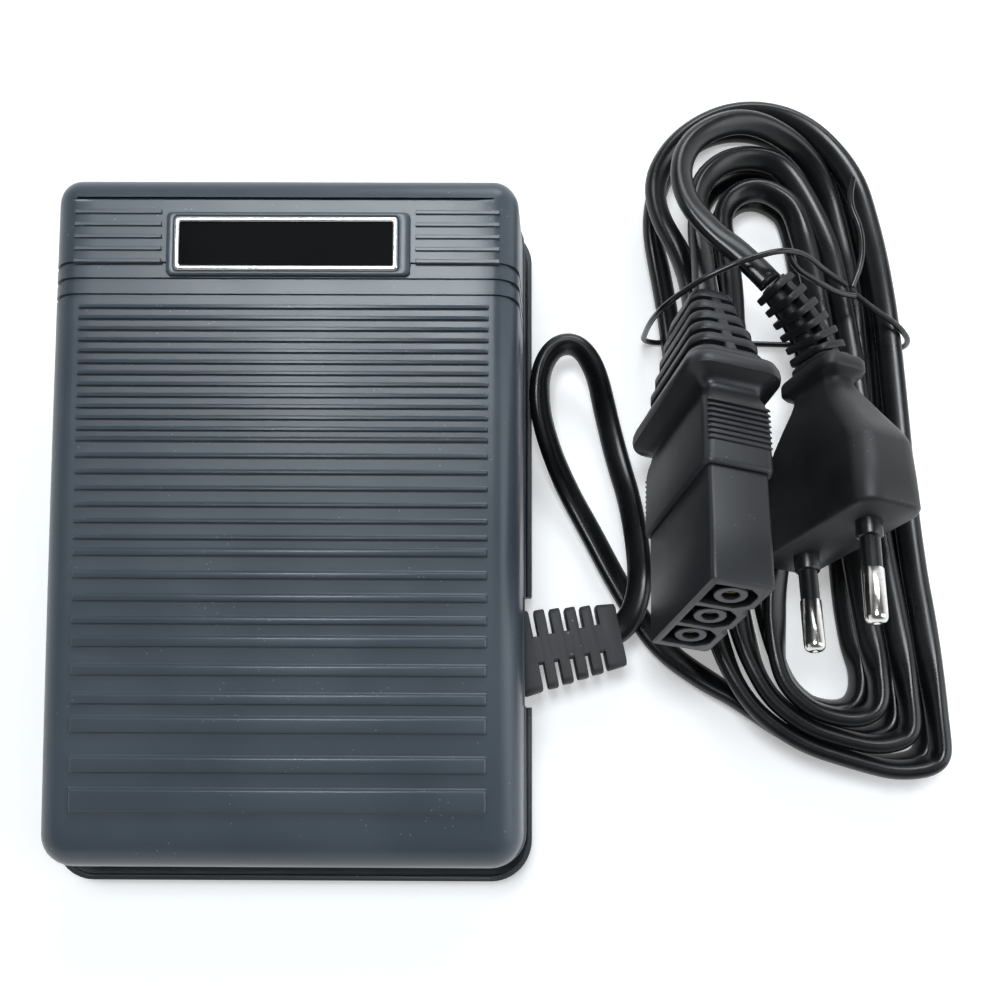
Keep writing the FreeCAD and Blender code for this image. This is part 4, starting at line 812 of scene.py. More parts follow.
MAINS_CORD = [
    (110.9, 80.4, 4.6, 38), (104.0, 87.2, 8.6, 40), (92.6, 89.4, 14.8, 42),
    (82.2, 84.2, 19.0, 45), (77.0, 76.6, 21.6, 42), (77.2, 67.6, 23.0, 32),
    (82.2, 60.0, 23.7, 20),
]

CON_FACE = Vector((76.9, -19.9, 41.8))
CON_NOSE = Vector((-0.054, -0.942, 0.332)).normalized()
CON_LONG = Vector((-0.258, -0.308, -0.916))
CON_LENGTH = 68.0
CON_CORD_SHIFT = 2.5
PLUG_FACE = Vector((102.66, -4.31, 30.4))
PLUG_NOSE = Vector((-0.033, -0.969, 0.243)).normalized()
PLUG_LONG = Vector((0.385, 0.212, 0.898))
PLUG_LENGTH = 36.0
PLUG_MOUTH = Vector((94.0, 48.5, 24.0))
PLUG_MOUTH_DIR = Vector((-0.65, 0.76, 0.0)).normalized()


def smooth(k):
    k = max(0.0, min(1.0, k))
    return k * k * (3.0 - 2.0 * k)


def hank_point(s, w, z, roll):
    place = HANK_TOP + HANK_DOWN * s + HANK_RIGHT * w
    return (place.x, place.y, z, roll)


def tie_rise(s):
    if s <= TIE_AT:
        return TIE_RISE * smooth(s / TIE_AT)
    return TIE_RISE * (1.0 - smooth((s - TIE_AT) / (LOW_LEFT[0] - TIE_AT)))


def low_place(corner, column):
    return corner[0] + column * corner[2], corner[1] + column * corner[3]


def run_across(s, side, turn, column):
    low_s, low_w = low_place(LOW_RIGHT if side > 0 else LOW_LEFT, column)
    w = side * TURN_TOP[turn] + TOP_SHIFT
    return w + (low_w - w) * smooth(s / low_s)


def run_points(side, turn, column, z_low, northward, roll, z_top=None):
    # One side of the hank, between its top turn and its low turn, on one layer or from one to another
    z_top = z_low if z_top is None else z_top
    points = []
    for s in RUN_MARKS:
        z = z_top + (z_low - z_top) * smooth((s - TIE_AT) / LAYER_CHANGE) + tie_rise(s)
        points.append(hank_point(s, run_across(s, side, turn, column), z, roll))
    if side > 0:
        points.append(hank_point(RUN_LAST, run_across(RUN_LAST, side, turn, column), z_low, roll))
    return points[::-1] if northward else points


def cross_points(roll_from, roll_to):
    # From the low turn's left side, over the opening, to the top turn's right side
    points = []
    for s in CROSS_MARKS:
        left = run_across(s, -1, 0, 0.0)
        right = TURN_TOP[0] + TOP_SHIFT - CROSS_TUCK * smooth(s / CROSS_TUCK_LENGTH)
        over, drop, turned = [smooth((span[0] - s) / span[1])
                              for span in (CROSS_OVER, CROSS_DROP, CROSS_ROLL)]
        w = left + (right - left) * over
        z = LAYER_2 + (LAYER_1 - LAYER_2) * drop + tie_rise(s)
        roll = roll_from + (roll_to - roll_from) * turned
        points.append(hank_point(s, w, z, roll))
    return points


def low_points(column, z, rightward, sense, first=0):
    # The cord stands nearly on its edge here, to lie close to its neighbours
    points = []
    for corner in LOW_CORNERS[first:]:
        s, w = low_place(corner, column)
        points.append(hank_point(s, w, z + LOW_RAISE, math.copysign(LOW_ROLL, sense)))
    return points if rightward else points[::-1]


def top_points(turn, z, rightward, sense):
    # Over the top, as far out as the round needs
    reach = TURN_TOP[turn] / math.cos(math.radians(TOP_FIRST))
    lift = (TURN_TOP[turn] + TURN_LIFT * turn) / math.cos(math.radians(TOP_FIRST))
    points = []
    for i, draw in enumerate(TOP_DRAW):
        a = math.radians(TOP_FIRST + TOP_STEP * i)
        points.append(hank_point(-lift * draw * math.sin(a), TOP_SHIFT - reach * draw * math.cos(a),
                                 z + TOP_RAISE, math.copysign(TOP_ROLL, sense)))
    return points if rightward else points[::-1]


def mains_hank_points():
    inner_1, middle_1, _ = COLUMN_1
    inner_2, middle_2, _ = COLUMN_2
    out = -HANK_ROLL
    back = HANK_ROLL
    points = run_points(1, 1, middle_2, LAYER_2, False, out)
    points += low_points(middle_2, LAYER_2, False, out)
    points += run_points(-1, 0, middle_2, LAYER_2, True, out)
    points += top_points(0, LAYER_2, True, out)
    points += run_points(1, 0, inner_2, LAYER_2, False, out)
    points += low_points(inner_2, LAYER_2, False, out)
    points += cross_points(out, back)
    points += top_points(0, LAYER_1, False, back)
    points += run_points(-1, 0, inner_1, LAYER_1, False, back)
    points += low_points(inner_1, LAYER_1, True, back)
    points += run_points(1, 1, inner_1, LAYER_1, True, back)
    points += top_points(1, LAYER_1, False, back)
    points += run_points(-1, 1, middle_1, LAYER_1, False, back)
    points += low_points(middle_1, LAYER_1, True, back)
    points += run_points(1, 2, middle_1, LAYER_1, True, back)
    return points


def pedal_hank_points():
    back = HANK_ROLL
    points = low_points(COLUMN_1[2], LAYER_1, True, back, 1)
    points += run_points(1, 3, COLUMN_1[2], LAYER_1, True, back)
    points += top_points(3, LAYER_1, False, back)
    points += run_points(-1, 3, COLUMN_2[2], LAYER_2, False, back, LAYER_1)
    points += low_points(COLUMN_2[2], LAYER_2, True, back)
    points += run_points(1, 3, COLUMN_2[2], LAYER_2, True, back)
    return points


def con_mouth(offset):
    long_axis = (CON_LONG - CON_NOSE * CON_LONG.dot(CON_NOSE)).normalized()
    return CON_FACE - CON_NOSE * CON_LENGTH + long_axis * offset


def with_roll(place, roll):
    return (place.x, place.y, place.z, roll)


def pedal_route():
    mouth = con_mouth(CON_CORD_SHIFT)
    ends = [with_roll(mouth - CON_NOSE * 12.0, 20), with_roll(mouth, 10)]
    return PEDAL_CORD + pedal_hank_points() + PEDAL_TAIL + ends


def mains_route():
    mouth = con_mouth(-CON_CORD_SHIFT)
    starts = [with_roll(mouth, -10), with_roll(mouth - CON_NOSE * 10.0, -25)]
    ends = [with_roll(PLUG_MOUTH + PLUG_MOUTH_DIR * 7.0, 10), with_roll(PLUG_MOUTH, 0)]
    return starts + MAINS_TAIL + mains_hank_points() + MAINS_CORD + ends


def read_route(name, route):
    # The route as one open spline, and the line and roll that it gives
    data = bpy.data.curves.new(name, "CURVE")
    data.dimensions = "3D"
    spline = data.splines.new("NURBS")
    spline.points.add(len(route) - 1)
    for point, place in zip(spline.points, route):
        point.co = (place[0] * mm, place[1] * mm, place[2] * mm, 1.0)
    spline.order_u = SPLINE_ORDER
    spline.use_endpoint_u = True
    spline.resolution_u = SPLINE_STEPS
    curve = bpy.data.objects.new(name, data)
    line_mesh = bpy.data.meshes.new_from_object(curve)
    line = [v.co.copy() for v in line_mesh.vertices]
    bpy.data.objects.remove(curve)
    bpy.data.meshes.remove(line_mesh)
    spans = len(route) - 2
    rolls = []
    for i in range(len(line)):
        t = spans * i / (len(line) - 1.0) + 0.5
        low = min(int(t), len(route) - 2)
        k = smooth(t - low)
        rolls.append(route[low][3] * (1.0 - k) + route[low + 1][3] * k)
    return line, rolls


def flat_section():
    # Outline of the flat cord: round edges, faces slightly crowned
    half = (CORD_WIDTH - CORD_THICK) / 2.0
    r = CORD_THICK / 2.0
    outline = []
    for i in range(SECTION_STEPS):
        a = 2.0 * math.pi * i / SECTION_STEPS
        x = r * math.cos(a) + half * max(-1.0, min(1.0, SECTION_FLAT * math.cos(a)))
        outline.append((x * mm, r * math.sin(a) * mm))
    return outline


def flat_cord(name, route):
    line, rolls = read_route(name + "_route", route)
    outline = flat_section()
    count = len(line)
    rings = []
    distances = [0.0]
    for i in range(count):
        if i > 0:
            distances.append(distances[-1] + (line[i] - line[i - 1]).length)
        ahead = line[min(i + 1, count - 1)] - line[max(i - 1, 0)]
        ahead.normalize()
        side = ahead.cross(UP).normalized()
        over = side.cross(ahead).normalized()
        a = math.radians(rolls[i])
        wide = side * math.cos(a) + over * math.sin(a)
        thin = over * math.cos(a) - side * math.sin(a)
        rings.append([line[i] + wide * x + thin * y for x, y in outline])
    piece = skin_only(name, rings, CORD_BLACK)
    n = SECTION_STEPS
    layer = piece.data.uv_layers.new(name="along_cord")
    for polygon in piece.data.polygons:
        for loop_index in polygon.loop_indices:
            vertex = piece.data.loops[loop_index].vertex_index
            layer.data[loop_index].uv = (distances[vertex // n] * UV_PER_METRE, (vertex % n) / n)
    face_outwards(piece)
    shade(piece)
    return piece, line


# Blocks and plates of the strain reliefs

PLATE_SOFT = 0.25


def block_rows(section, z0, z1, soft):
    # A block of a tapering section, its end edges softened
    rows = []
    for z, back in ((z0, soft), (z0 + soft * 0.3, soft * 0.3), (z0 + soft, 0.0),
                    (z1 - soft, 0.0), (z1 - soft * 0.3, soft * 0.3), (z1, soft)):
        w, t, r = section(z)
        rows.append((w - 2.0 * back, t - 2.0 * back, r, z))
    return rows


def tapered(root, shrink, k):
    return tuple(a - b * k for a, b in zip(root, shrink))


def unit_plate(section, thickness, material):
    place = placing(ORIGIN, RIGHT, UP)
    half = thickness / 2.0
    rows = block_rows(lambda z: section, -half, half, PLATE_SOFT)
    return skin_only("unit_plate", box_rings(place, rows), material)


def plate_spot(place, z, section, mean):
    # One row for repeated(): the plate at that height, widened to the section there
    size = (section[0] / mean[0], section[1] / mean[1], 1.0)
    return (place(0.0, 0.0, z), tuple(place.turn.to_euler()), size, NO_TURN, 0.0)


def plate_row(name, place, section, middle, starts, thickness, material):
    # Plates one after another, of the section where each of them stands
    mean = section(middle)
    rows = []
    for start in starts:
        z = start + thickness / 2.0
        rows.append(plate_spot(place, z, section(z), mean))
    return repeated(name, unit_plate(mean, thickness, material), rows, material)


# Strain relief at the pedal's side

RELIEF_START = Vector((41.2, -24.7, 7.5))
RELIEF_END = Vector((64.5, -20.05, 7.5))
RELIEF_LENGTH = (RELIEF_END - RELIEF_START).length
RELIEF_PLATES = (7.45, 10.55, 13.65, 16.75)
RELIEF_PLATE = 2.1
# Thickness, width and corner radius at the pedal, and what they lose on the way
RELIEF_ROOT = (9.0, 17.6, 1.6)
RELIEF_SHRINK = (3.0, 5.1, 0.4)


def relief_section(z):
    return tapered(RELIEF_ROOT, RELIEF_SHRINK, z / RELIEF_LENGTH)


def relief_body():
    place = placing(RELIEF_START * mm, UP, RELIEF_END - RELIEF_START)
    form = Form()
    form.skin(box_rings(place, block_rows(relief_section, 2.6, 6.4, 0.4)))
    form.skin(box_rings(place, block_rows(relief_section, 19.85, RELIEF_LENGTH, 0.4)))
    form.skin(round_rings(place, [(2.85, 3.0), (2.85, 22.0)]))
    spine = []
    for z in (3.0, 12.0, 21.5):
        spine.append((relief_section(z)[0] - 0.1, 5.4, 0.4, z))
    form.skin(box_rings(place, spine))
    wall = placing(Vector((RELIEF_START.x, -24.65, 7.5)) * mm, UP, RIGHT)
    form.skin(box_rings(wall, block_rows(lambda z: (9.0, 17.5, 1.4), 0.03, 2.2, 0.45)))
    form.skin(box_rings(wall, [(5.2, 11.7, 0.8, -2.5), (5.2, 11.7, 0.8, 0.3)], (0.05, 0.05)))
    form.skin(box_rings(wall, block_rows(lambda z: (7.3, 15.3, 1.2), -4.15, -2.35, 0.3), (0.8, 0.05)))
    return form.piece("relief_body", GROMMET_GREY, 35.0)


def relief_plates():
    place = placing(RELIEF_START * mm, UP, RELIEF_END - RELIEF_START)
    return plate_row("relief_plates", place, relief_section, RELIEF_LENGTH / 2.0, RELIEF_PLATES,
                     RELIEF_PLATE, GROMMET_GREY)


# Return spring, which the treadle presses flatter as it goes down; this coil is built at one fixed
# height

SPRING_PLACE = Vector((-14.0, 30.0, 7.0))
SPRING_HEIGHT = 23.0
SPRING_R = 5.4
SPRING_WIRE_R = 0.58
SPRING_TURNS = 7
SPRING_STEPS = 28
# In radii of the wire: the first turn's height, and what both ends take of the height
SPRING_FIRST = 1.1
SPRING_ENDS = 2.4
WIRE_STEPS = 10


def spring_coil():
    rise = (SPRING_HEIGHT - SPRING_ENDS * SPRING_WIRE_R) / (2.0 * math.pi * SPRING_TURNS)
    rings = []
    for i in range(SPRING_TURNS * SPRING_STEPS + 1):
        a = 2.0 * math.pi * i / SPRING_STEPS
        out = Vector((math.cos(a), math.sin(a), 0.0))
        middle = SPRING_PLACE + out * SPRING_R + UP * (SPRING_FIRST * SPRING_WIRE_R + rise * a)
        ring = []
        for j in range(WIRE_STEPS):
            b = 2.0 * math.pi * j / WIRE_STEPS
            ring.append((middle + (out * math.cos(b) + UP * math.sin(b)) * SPRING_WIRE_R) * mm)
        rings.append(ring)
    return skinned("spring_coil", rings, SPRING_STEEL, 50.0)


# Connector

HOOD_ROWS = (
    (29.4, 12.2, 1.2, -22.02), (30.2, 13.0, 1.6, -22.4), (30.4, 13.2, 1.7, -23.0),
    (30.2, 13.1, 1.8, -30.0), (30.0, 13.0, 1.9, -35.2), (29.4, 12.5, 2.0, -36.8),
    (28.3, 11.8, 2.1, -38.3), (27.9, 11.5, 2.2, -39.3), (28.3, 12.0, 2.4, -40.2),
    (30.0, 14.0, 2.8, -41.2), (32.6, 17.2, 3.6, -41.8), (33.8, 18.4, 4.0, -42.2),
    (34.2, 18.8, 4.2, -43.0), (34.0, 18.6, 4.2, -44.2), (33.2, 17.8, 4.1, -45.3),
    (31.8, 16.4, 4.0, -46.0),
)
SOCKET_PITCH = 8.6
SOCKET_STEPS = 36
HOOD_RIDGES = 8
HOOD_RIDGE_FIRST = -27.0
HOOD_RIDGE_STEP = 1.15
CON_PLATES = (-52.3, -56.0, -59.7, -63.4)
CON_PLATE = 1.9
CON_ROOT = (30.0, 15.6, 4.0)
CON_SHRINK = (15.6, 7.0, 1.4)
CON_RELIEF_FROM = -46.0
CON_RELIEF_LENGTH = 22.0
CON_MIDDLE = -57.0


def con_place():
    return placing(CON_FACE * mm, CON_LONG, CON_NOSE)


def con_section(z):
    return tapered(CON_ROOT, CON_SHRINK, (CON_RELIEF_FROM - z) / CON_RELIEF_LENGTH)


def body_outline(inset, notch):
    # Rounded rectangle with a notch between each two sockets on its far side
    half_x = 14.2 - inset
    half_y = 5.7 - inset
    outline = []
    for x in (0.5 * SOCKET_PITCH, -0.5 * SOCKET_PITCH):
        for step, share in ((1.25, 0.0), (0.95, 0.55), (0.5, 0.95), (0.0, 1.0), (-0.5, 0.95),
                            (-0.95, 0.55), (-1.25, 0.0)):
            outline.append((x + step, half_y - notch * share))
    rounded = box_outline(half_x, half_y, 0.9, 4)
    return rounded[:10] + outline + rounded[10:]


def socket_outline(grow):
    # Recess round one socket: straight near side, cut corners on the far side
    corners = ((-3.75, -4.3), (3.75, -4.3), (3.75, 2.2), (1.9, 4.35), (-1.9, 4.35), (-3.75, 2.2))
    outline = []
    for i in range(SOCKET_STEPS):
        a = 2.0 * math.pi * i / SOCKET_STEPS
        reach = 9.0
        for j in range(6):
            x0, y0 = corners[j]
            x1, y1 = corners[(j + 1) % 6]
            nx, ny = y1 - y0, x0 - x1
            size = math.hypot(nx, ny)
            wall = (x0 * nx + y0 * ny) / size + grow
            facing = (math.cos(a) * nx + math.sin(a) * ny) / size
            if facing > 1e-6:
                reach = min(reach, wall / facing)
        outline.append((reach * math.cos(a), reach * math.sin(a)))
    return outline


def socket_rings(place, x):
    rings = []
    for grow, z in ((0.0, 0.0), (-0.12, -0.12), (-0.15, -2.4)):
        rings.append([place(x + px, py, z) for px, py in socket_outline(grow)])
    for r, z in ((2.9, -2.4), (2.9, -0.45), (2.75, -0.3), (1.65, -0.3), (1.5, -0.45), (1.5, -13.8)):
        rings += round_rings(place, [(r, z)], (x, 0.0), SOCKET_STEPS)
    return rings


def connector_body():
    place = con_place()
    form = Form()
    rows = ((0.5, 1.15, 0.0), (0.15, 1.25, -0.15), (0.0, 1.3, -0.5), (0.0, 1.3, -10.6),
            (0.0, 0.0, -11.0), (0.0, 0.0, -21.98))
    rings = [[place(x, y, z) for x, y in body_outline(inset, notch)] for inset, notch, z in rows]
    n = len(rings[0])
    form.skin(rings)
    form.faces.remove(tuple(range(n))[::-1])
    start = len(form.points)
    front = [Vector((x, y, 0.0)) for x, y in body_outline(0.5, 1.15)]
    loops = [front]
    for i in (-1, 0, 1):
        loops.append([Vector((i * SOCKET_PITCH + x, y, 0.0)) for x, y in socket_outline(0.0)])
    form.points.extend(place(p.x, p.y, 0.0) for loop in loops for p in loop)
    for corners in tessellate_polygon(loops):
        form.faces.append(tuple(start + i for i in corners))
    for i in (-1, 0, 1):
        first = len(form.points)
        form.skin(socket_rings(place, i * SOCKET_PITCH))
        form.faces.remove(tuple(first + j for j in range(SOCKET_STEPS))[::-1])
    return form.piece("connector_front", CONNECTOR_GREY, 35.0)


def socket_tubes():
    # Metal contacts, set a little way down their holes
    form = Form()
    for i in (-1, 0, 1):
        rows = [(1.48, -13.6), (1.48, -1.5), (1.3, -1.4), (1.12, -1.5), (1.12, -13.6)]
        form.skin(round_rings(con_place(), rows, (i * SOCKET_PITCH, 0.0)), closed=True)
    return form.piece("socket_tubes", CONTACT_BRASS, 40.0)


def connector_hood():
    return skinned("connector_grip", box_rings(con_place(), HOOD_ROWS), CONNECTOR_GREY, 40.0)


def hood_ridges():
    level = placing(ORIGIN, RIGHT, Vector((0.0, 1.0, 0.0)))
    rows = [(0.3, 0.3, 0.14, -6.1), (0.8, 0.56, 0.25, -5.6), (0.8, 0.56, 0.25, 5.6),
            (0.3, 0.3, 0.14, 6.1)]
    unit = skin_only("unit_ridge", box_rings(level, rows, steps=3), CONNECTOR_GREY)
    place = con_place()
    rows = []
    for i in range(HOOD_RIDGES):
        z = HOOD_RIDGE_FIRST - i * HOOD_RIDGE_STEP
        for side in (-1.0, 1.0):
            rows.append((place(side * 15.1, 0.0, z), tuple(place.turn.to_euler()), (1.0, 1.0, 1.0),
                         NO_TURN, 0.0))
    return repeated("connector_ridges", unit, rows, CONNECTOR_GREY)


def connector_relief():
    place = con_place()
    form = Form()
    form.skin(box_rings(place, block_rows(con_section, -48.6, -46.02, 0.35)))
    form.skin(box_rings(place, block_rows(con_section, -68.0, -65.2, 0.45)))
    core = [(24.5, 10.4, 3.4, -46.5), (11.4, 6.4, 2.0, -66.5)]
    form.skin(box_rings(place, core))
    spine = []
    for z in (-47.0, -57.0, -66.5):
        spine.append((con_section(z)[0] - 0.5, 2.3, 0.6, z))
    form.skin(box_rings(place, spine))
    return form.piece("connector_relief_core", CONNECTOR_GREY, 35.0)


def connector_plates():
    return plate_row("connector_relief_plates", con_place(), con_section, CON_MIDDLE, CON_PLATES,
                     CON_PLATE, CONNECTOR_GREY)


# Plug

PLUG_ROWS = (
    (33.6, 12.0, 3.6, 0.0), (34.6, 13.0, 3.9, -0.35), (35.3, 13.7, 4.0, -1.0),
    (35.2, 13.6, 4.0, -7.0), (34.7, 13.3, 3.9, -13.2), (34.0, 13.1, 3.8, -14.4),
    (32.2, 12.7, 3.7, -16.0), (29.6, 12.1, 3.6, -18.0), (24.0, 11.0, 3.4, -22.0),
    (19.2, 9.3, 3.1, -25.8), (15.4, 7.6, 2.8, -28.8), (13.6, 6.9, 2.7, -30.6),
    (13.2, 6.9, 2.7, -31.7), (14.2, 7.8, 2.7, -32.3), (16.2, 9.1, 2.4, -32.8),
    (17.0, 9.6, 2.2, -33.5), (17.0, 9.6, 2.2, -35.3), (16.2, 8.8, 2.0, -36.0),
)
PIN_ROOT_HALF = 9.3
PIN_TIP_HALF = 8.8
PIN_LENGTH = 19.0
PIN_ROWS = ((1.85, 9.0), (2.0, 9.15), (2.0, 17.7), (1.93, 18.2), (1.7, 18.65), (1.3, 18.93),
            (0.8, 18.99), (0.45, 18.95), (0.25, 18.8))
SLEEVE_ROWS = ((2.4, -0.5), (2.4, 2.7), (2.25, 3.0), (1.8, 3.15), (1.8, 9.0))
PLUG_PLATES = 7
PLUG_PLATE = 1.5
PLUG_ROOT = (12.0, 7.6, 2.0)
PLUG_SHRINK = (4.2, 1.4, 0.0)
PLUG_MEAN = (9.9, 6.9, 2.0)


def plug_place():
    return placing(PLUG_FACE * mm, PLUG_LONG, PLUG_NOSE)


def plug_body():
    return skinned("plug_moulding", box_rings(plug_place(), PLUG_ROWS), PLUG_BLACK, 40.0)


def pin_place(side):
    place = plug_place()
    root = place(side * PIN_ROOT_HALF, 0.0, 0.0)
    tip = place(side * PIN_TIP_HALF, 0.0, PIN_LENGTH)
    return placing(root, PLUG_LONG, tip - root)


def plug_rounds(name, rows, material):
    form = Form()
    for side in (-1.0, 1.0):
        form.skin(round_rings(pin_place(side), rows))
    return form.piece(name, material, 45.0)


def plug_curve(k):
    # The relief bends from the plug's tail to the cord: its place there and its section
    start = PLUG_FACE - PLUG_NOSE * PLUG_LENGTH
    span = (PLUG_MOUTH - start).length
    leave = -PLUG_NOSE * span
    arrive = PLUG_MOUTH_DIR * span
    spot = (start * (2 * k ** 3 - 3 * k ** 2 + 1) + leave * (k ** 3 - 2 * k ** 2 + k)
            + PLUG_MOUTH * (3 * k ** 2 - 2 * k ** 3) + arrive * (k ** 3 - k ** 2))
    heading = ((PLUG_MOUTH - start) * (6 * k - 6 * k ** 2) + leave * (3 * k ** 2 - 4 * k + 1)
               + arrive * (3 * k ** 2 - 2 * k))
    return placing(spot * mm, PLUG_LONG, heading), tapered(PLUG_ROOT, PLUG_SHRINK, k)


def plug_relief():
    form = Form()
    for wide, thick, radius in ((0.46, 0.86, 1.6), (0.94, 0.28, 0.8)):
        rings = []
        for i in range(13):
            place, section = plug_curve(0.02 + 0.96 * i / 12.0)
            row = (section[0] * wide, section[1] * thick, radius, 0.0)
            rings += box_rings(place, [row])
        form.skin(rings)
    return form.piece("plug_relief_core", PLUG_BLACK, 35.0)


def plug_plates():
    rows = []
    for i in range(PLUG_PLATES):
        place, section = plug_curve((i + 0.5) / PLUG_PLATES)
        rows.append(plate_spot(place, 0.0, section, PLUG_MEAN))
    unit = unit_plate(PLUG_MEAN, PLUG_PLATE, PLUG_BLACK)
    return repeated("plug_relief_plates", unit, rows, PLUG_BLACK)


# The tray is its solid with softer edges

TRAY_SOFT = 0.45
TRAY_RIM = (45.6, 66.8)
MERGE_ANGLE = 0.5
BEVEL_ANGLE = 50.0


def softened(node, width, material, keep):
    work = merged(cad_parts[node].data)
    bmesh.ops.recalc_face_normals(work, faces=work.faces)
    bmesh.ops.dissolve_limit(work, angle_limit=math.radians(MERGE_ANGLE), verts=work.verts,
                             edges=work.edges, delimit={"NORMAL"})
    edges = []
    for edge in work.edges:
        if len(edge.link_faces) == 2 and edge.calc_face_angle(0.0) > math.radians(BEVEL_ANGLE):
            if keep([v.co / mm for v in edge.verts]):
                edges.append(edge)
    bmesh.ops.bevel(work, geom=edges, offset=width * mm, segments=3, profile=0.5, affect="EDGES",
                    clamp_overlap=True)
    return finished(work, node + "_soft", material)


def on_tray_rim(ends):
    return all(abs(p.x) > TRAY_RIM[0] or abs(p.y) > TRAY_RIM[1] for p in ends)


# Stage

FLOOR_HALF = 6.0
FLOOR_WHITE = 0.86
FLOOR_GLOW = 0.35
WORLD_LEVEL = 0.42
# How far up the dark ceiling starts and is full, and what light it leaves
CEILING = (0.15, 0.55, 0.12)
LAMP_COLOUR = (0.90, 0.96, 1.0)
CAMERA_PLACE = (0.04127, -0.04050, 0.24952)
CAMERA_TURN = (11.24, 0.2, 0.26)
CAMERA_LENS = 43.09
# Name, place, aim, size and power of each lamp
LAMPS = (
    ("soft_top", (-0.085, 0.20, 1.0), (0.0, 0.02, 0.0), (0.36, 0.30), 6.5),
    ("soft_far", (0.30, 0.90, 0.70), (0.03, 0.0, 0.0), (0.7, 0.4), 6.2),
    ("soft_right", (0.9, -0.1, 0.6), (0.03, 0.0, 0.0), (0.5, 0.9), 3.6),
)


def floor():
    corners = ((-1, -1), (1, -1), (1, 1), (-1, 1))
    points = [(x * FLOOR_HALF, y * FLOOR_HALF, 0.0) for x, y in corners]
    material, shader = new_material("studio_white", roughness=0.9, specular=0.0)
    shader.inputs["Base Color"].default_value = (FLOOR_WHITE, FLOOR_WHITE, FLOOR_WHITE, 1.0)
    nodes, links = material.node_tree.nodes, material.node_tree.links
    glow = nodes.new("ShaderNodeEmission")
    glow.inputs["Color"].default_value = (1.0, 1.0, 1.0, 1.0)
    level = set_inputs(math_node(nodes, "MULTIPLY"), {1: FLOOR_GLOW})
    both = nodes.new("ShaderNodeAddShader")
    links.new(background_ray(nodes, links), level.inputs[0])
    join(links, [
        (level, 0, glow, "Strength"), (shader, 0, both, 0), (glow, 0, both, 1),
        (both, 0, nodes["Material Output"], "Surface")])
    piece = new_piece("studio_floor", points, [(0, 1, 2, 3)], material)


def background_ray(nodes, links):
    # One where the camera, or a mirroring or clear surface, looks at the background
    seen = nodes.new("ShaderNodeLightPath")
    first = math_node(nodes, "MAXIMUM")
    second = math_node(nodes, "MAXIMUM")
    join(links, [
        (seen, "Is Camera Ray", first, 0), (seen, "Is Glossy Ray", first, 1), (first, 0, second, 0),
        (seen, "Is Transmission Ray", second, 1)])
    return second.outputs[0]


def world_light():
    # White round the sides, with the dark ceiling of a room straight above
    world = bpy.data.worlds.new("studio")
    bpy.context.scene.world = world
    world.use_nodes = True
    nodes, links = world.node_tree.nodes, world.node_tree.links
    background = nodes["Background"]
    background.inputs["Color"].default_value = (1.0, 1.0, 1.0, 1.0)
    level = set_inputs(nodes.new("ShaderNodeMapRange"), {"To Min": WORLD_LEVEL, "To Max": 1.0})
    place = nodes.new("ShaderNodeTexCoord")
    parts = nodes.new("ShaderNodeSeparateXYZ")
    ceiling = set_inputs(nodes.new("ShaderNodeMapRange"), {
        "From Min": CEILING[0], "From Max": CEILING[1], "To Min": 1.0, "To Max": CEILING[2]})
    dim = math_node(nodes, "MULTIPLY")
    links.new(background_ray(nodes, links), level.inputs["Value"])
    join(links, [
        (place, "Generated", parts, "Vector"), (parts, "Z", ceiling, "Value"),
        (level, "Result", dim, 0), (ceiling, "Result", dim, 1), (dim, 0, background, "Strength")])


def lamp(name, place, aim, size, power):
    data = bpy.data.lights.new(name, "AREA")
    data.shape = "RECTANGLE"
    data.size = size[0]
    data.size_y = size[1]
    data.energy = power
    data.color = LAMP_COLOUR
    piece = bpy.data.objects.new(name, data)
    bpy.context.scene.collection.objects.link(piece)
    piece.location = place
    piece.rotation_euler = (Vector(aim) - Vector(place)).to_track_quat("-Z", "Y").to_euler()


def camera():
    data = bpy.data.cameras.new("studio_camera")
    data.lens = CAMERA_LENS
    data.sensor_width = 36.0
    data.clip_start = 0.01
    data.clip_end = 20.0
    piece = bpy.data.objects.new("studio_camera", data)
    bpy.context.scene.collection.objects.link(piece)
    piece.location = CAMERA_PLACE
    piece.rotation_euler = [math.radians(turn) for turn in CAMERA_TURN]
    bpy.context.scene.camera = piece


# Putting it together

def put(piece, body, slot, *nodes):
    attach(piece, body)
    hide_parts(*nodes)
    return piece


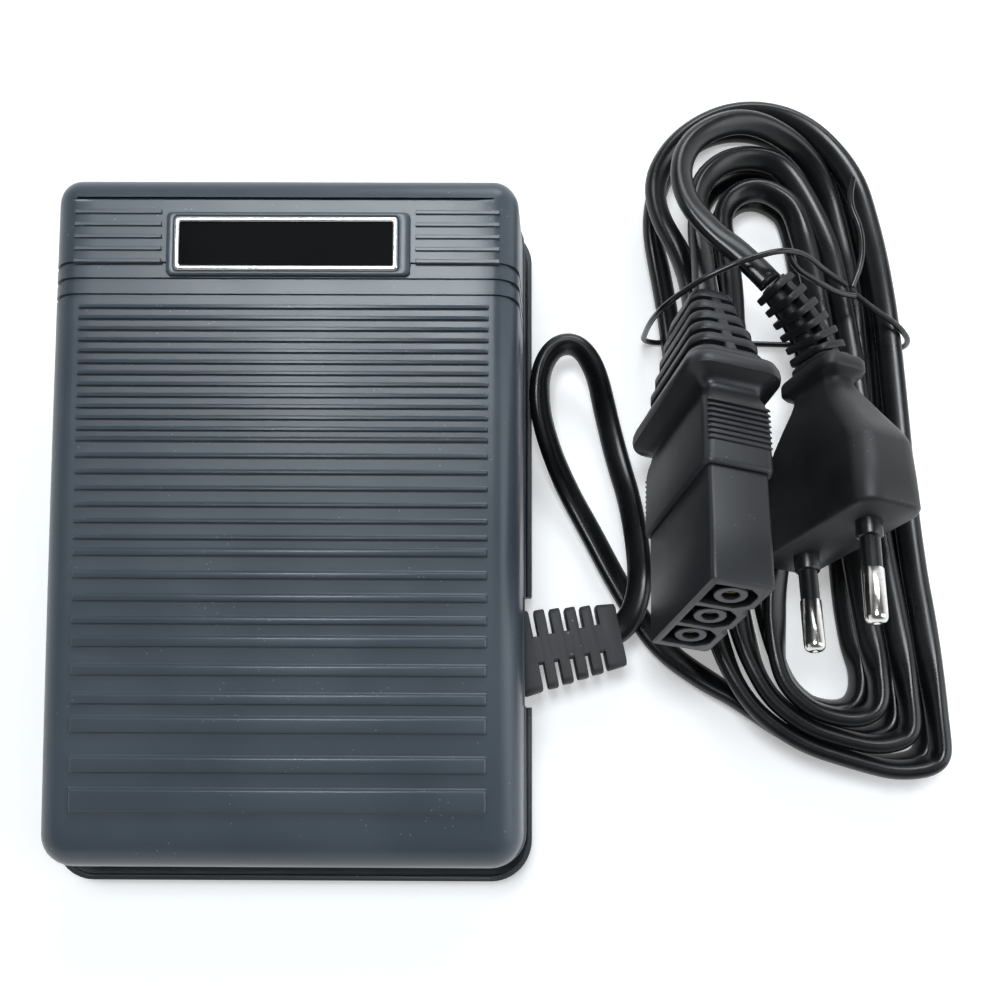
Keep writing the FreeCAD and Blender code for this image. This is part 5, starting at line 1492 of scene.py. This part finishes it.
def cord_set():
    cord, line = flat_cord("pedal_flat_cord", pedal_route())
    put(cord, "base", "cord_pvc", "pedal_cord", "pedal_cord_hank", "pedal_cord_tail")
    other, other_line = flat_cord("mains_flat_cord", mains_route())
    put(other, "base", "cord_pvc", "mains_cord_tail", "mains_cord_hank", "mains_cord")
    return cord, line, other, other_line


def put_all(body, rows):
    return [put(piece, body, slot, node) for piece, slot, node in rows]


def pedal():
    put_all("treadle", [
        (cover_shell(), "cover_plastic", "pedal_cover"),
        (inner_parts("pedal_cover", under_cover), "cover_plastic", "pedal_cover"),
        (repeated("treadle_ribs", rib_bar(), rib_places(), COVER_BLUE), "cover_plastic", "pedal_cover"),
        (plate_border(), "border_metal", "nameplate_border"),
        (plate(), "plate_black", "nameplate")])
    tray = softened("base_tray", TRAY_SOFT, BASE_GREY, on_tray_rim)
    pieces = put_all("base", [
        (tray, "base_plastic", "base_tray"),
        (relief_body(), "grommet_pvc", "pedal_strain_relief"),
        (relief_plates(), "grommet_pvc", "pedal_strain_relief"),
        (spring_coil(), "spring_steel", "return_spring")])
    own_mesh(pieces[-1])


def connector():
    return put_all("base", [
        (connector_body(), "connector_pvc", "connector_body"),
        (connector_hood(), "connector_pvc", "connector_hood"),
        (hood_ridges(), "connector_pvc", "connector_hood"),
        (connector_relief(), "connector_pvc", "connector_strain_relief"),
        (connector_plates(), "connector_pvc", "connector_strain_relief"),
        (socket_tubes(), "contact_brass", "socket_sleeves")])


def plug():
    return put_all("base", [
        (plug_body(), "plug_pvc", "plug_body"),
        (plug_relief(), "plug_pvc", "plug_strain_relief"),
        (plug_plates(), "plug_pvc", "plug_strain_relief"),
        (plug_rounds("bare_pins", PIN_ROWS, PIN_NICKEL), "pin_nickel", "plug_pins"),
        (plug_rounds("pin_collars", SLEEVE_ROWS, SLEEVE_BLACK), "sleeve_plastic", "pin_sleeves")])


camera()
pedal_cord, pedal_line, mains_cord, mains_line = cord_set()
pedal()
[c * mm for c in PEDAL_CORD[0][:3]]
connector()
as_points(pedal_line)
plug()
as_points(mains_line)

floor()
world_light()
for row in LAMPS:
    lamp(*row)

bpy.context.scene.view_settings.view_transform = "Standard"
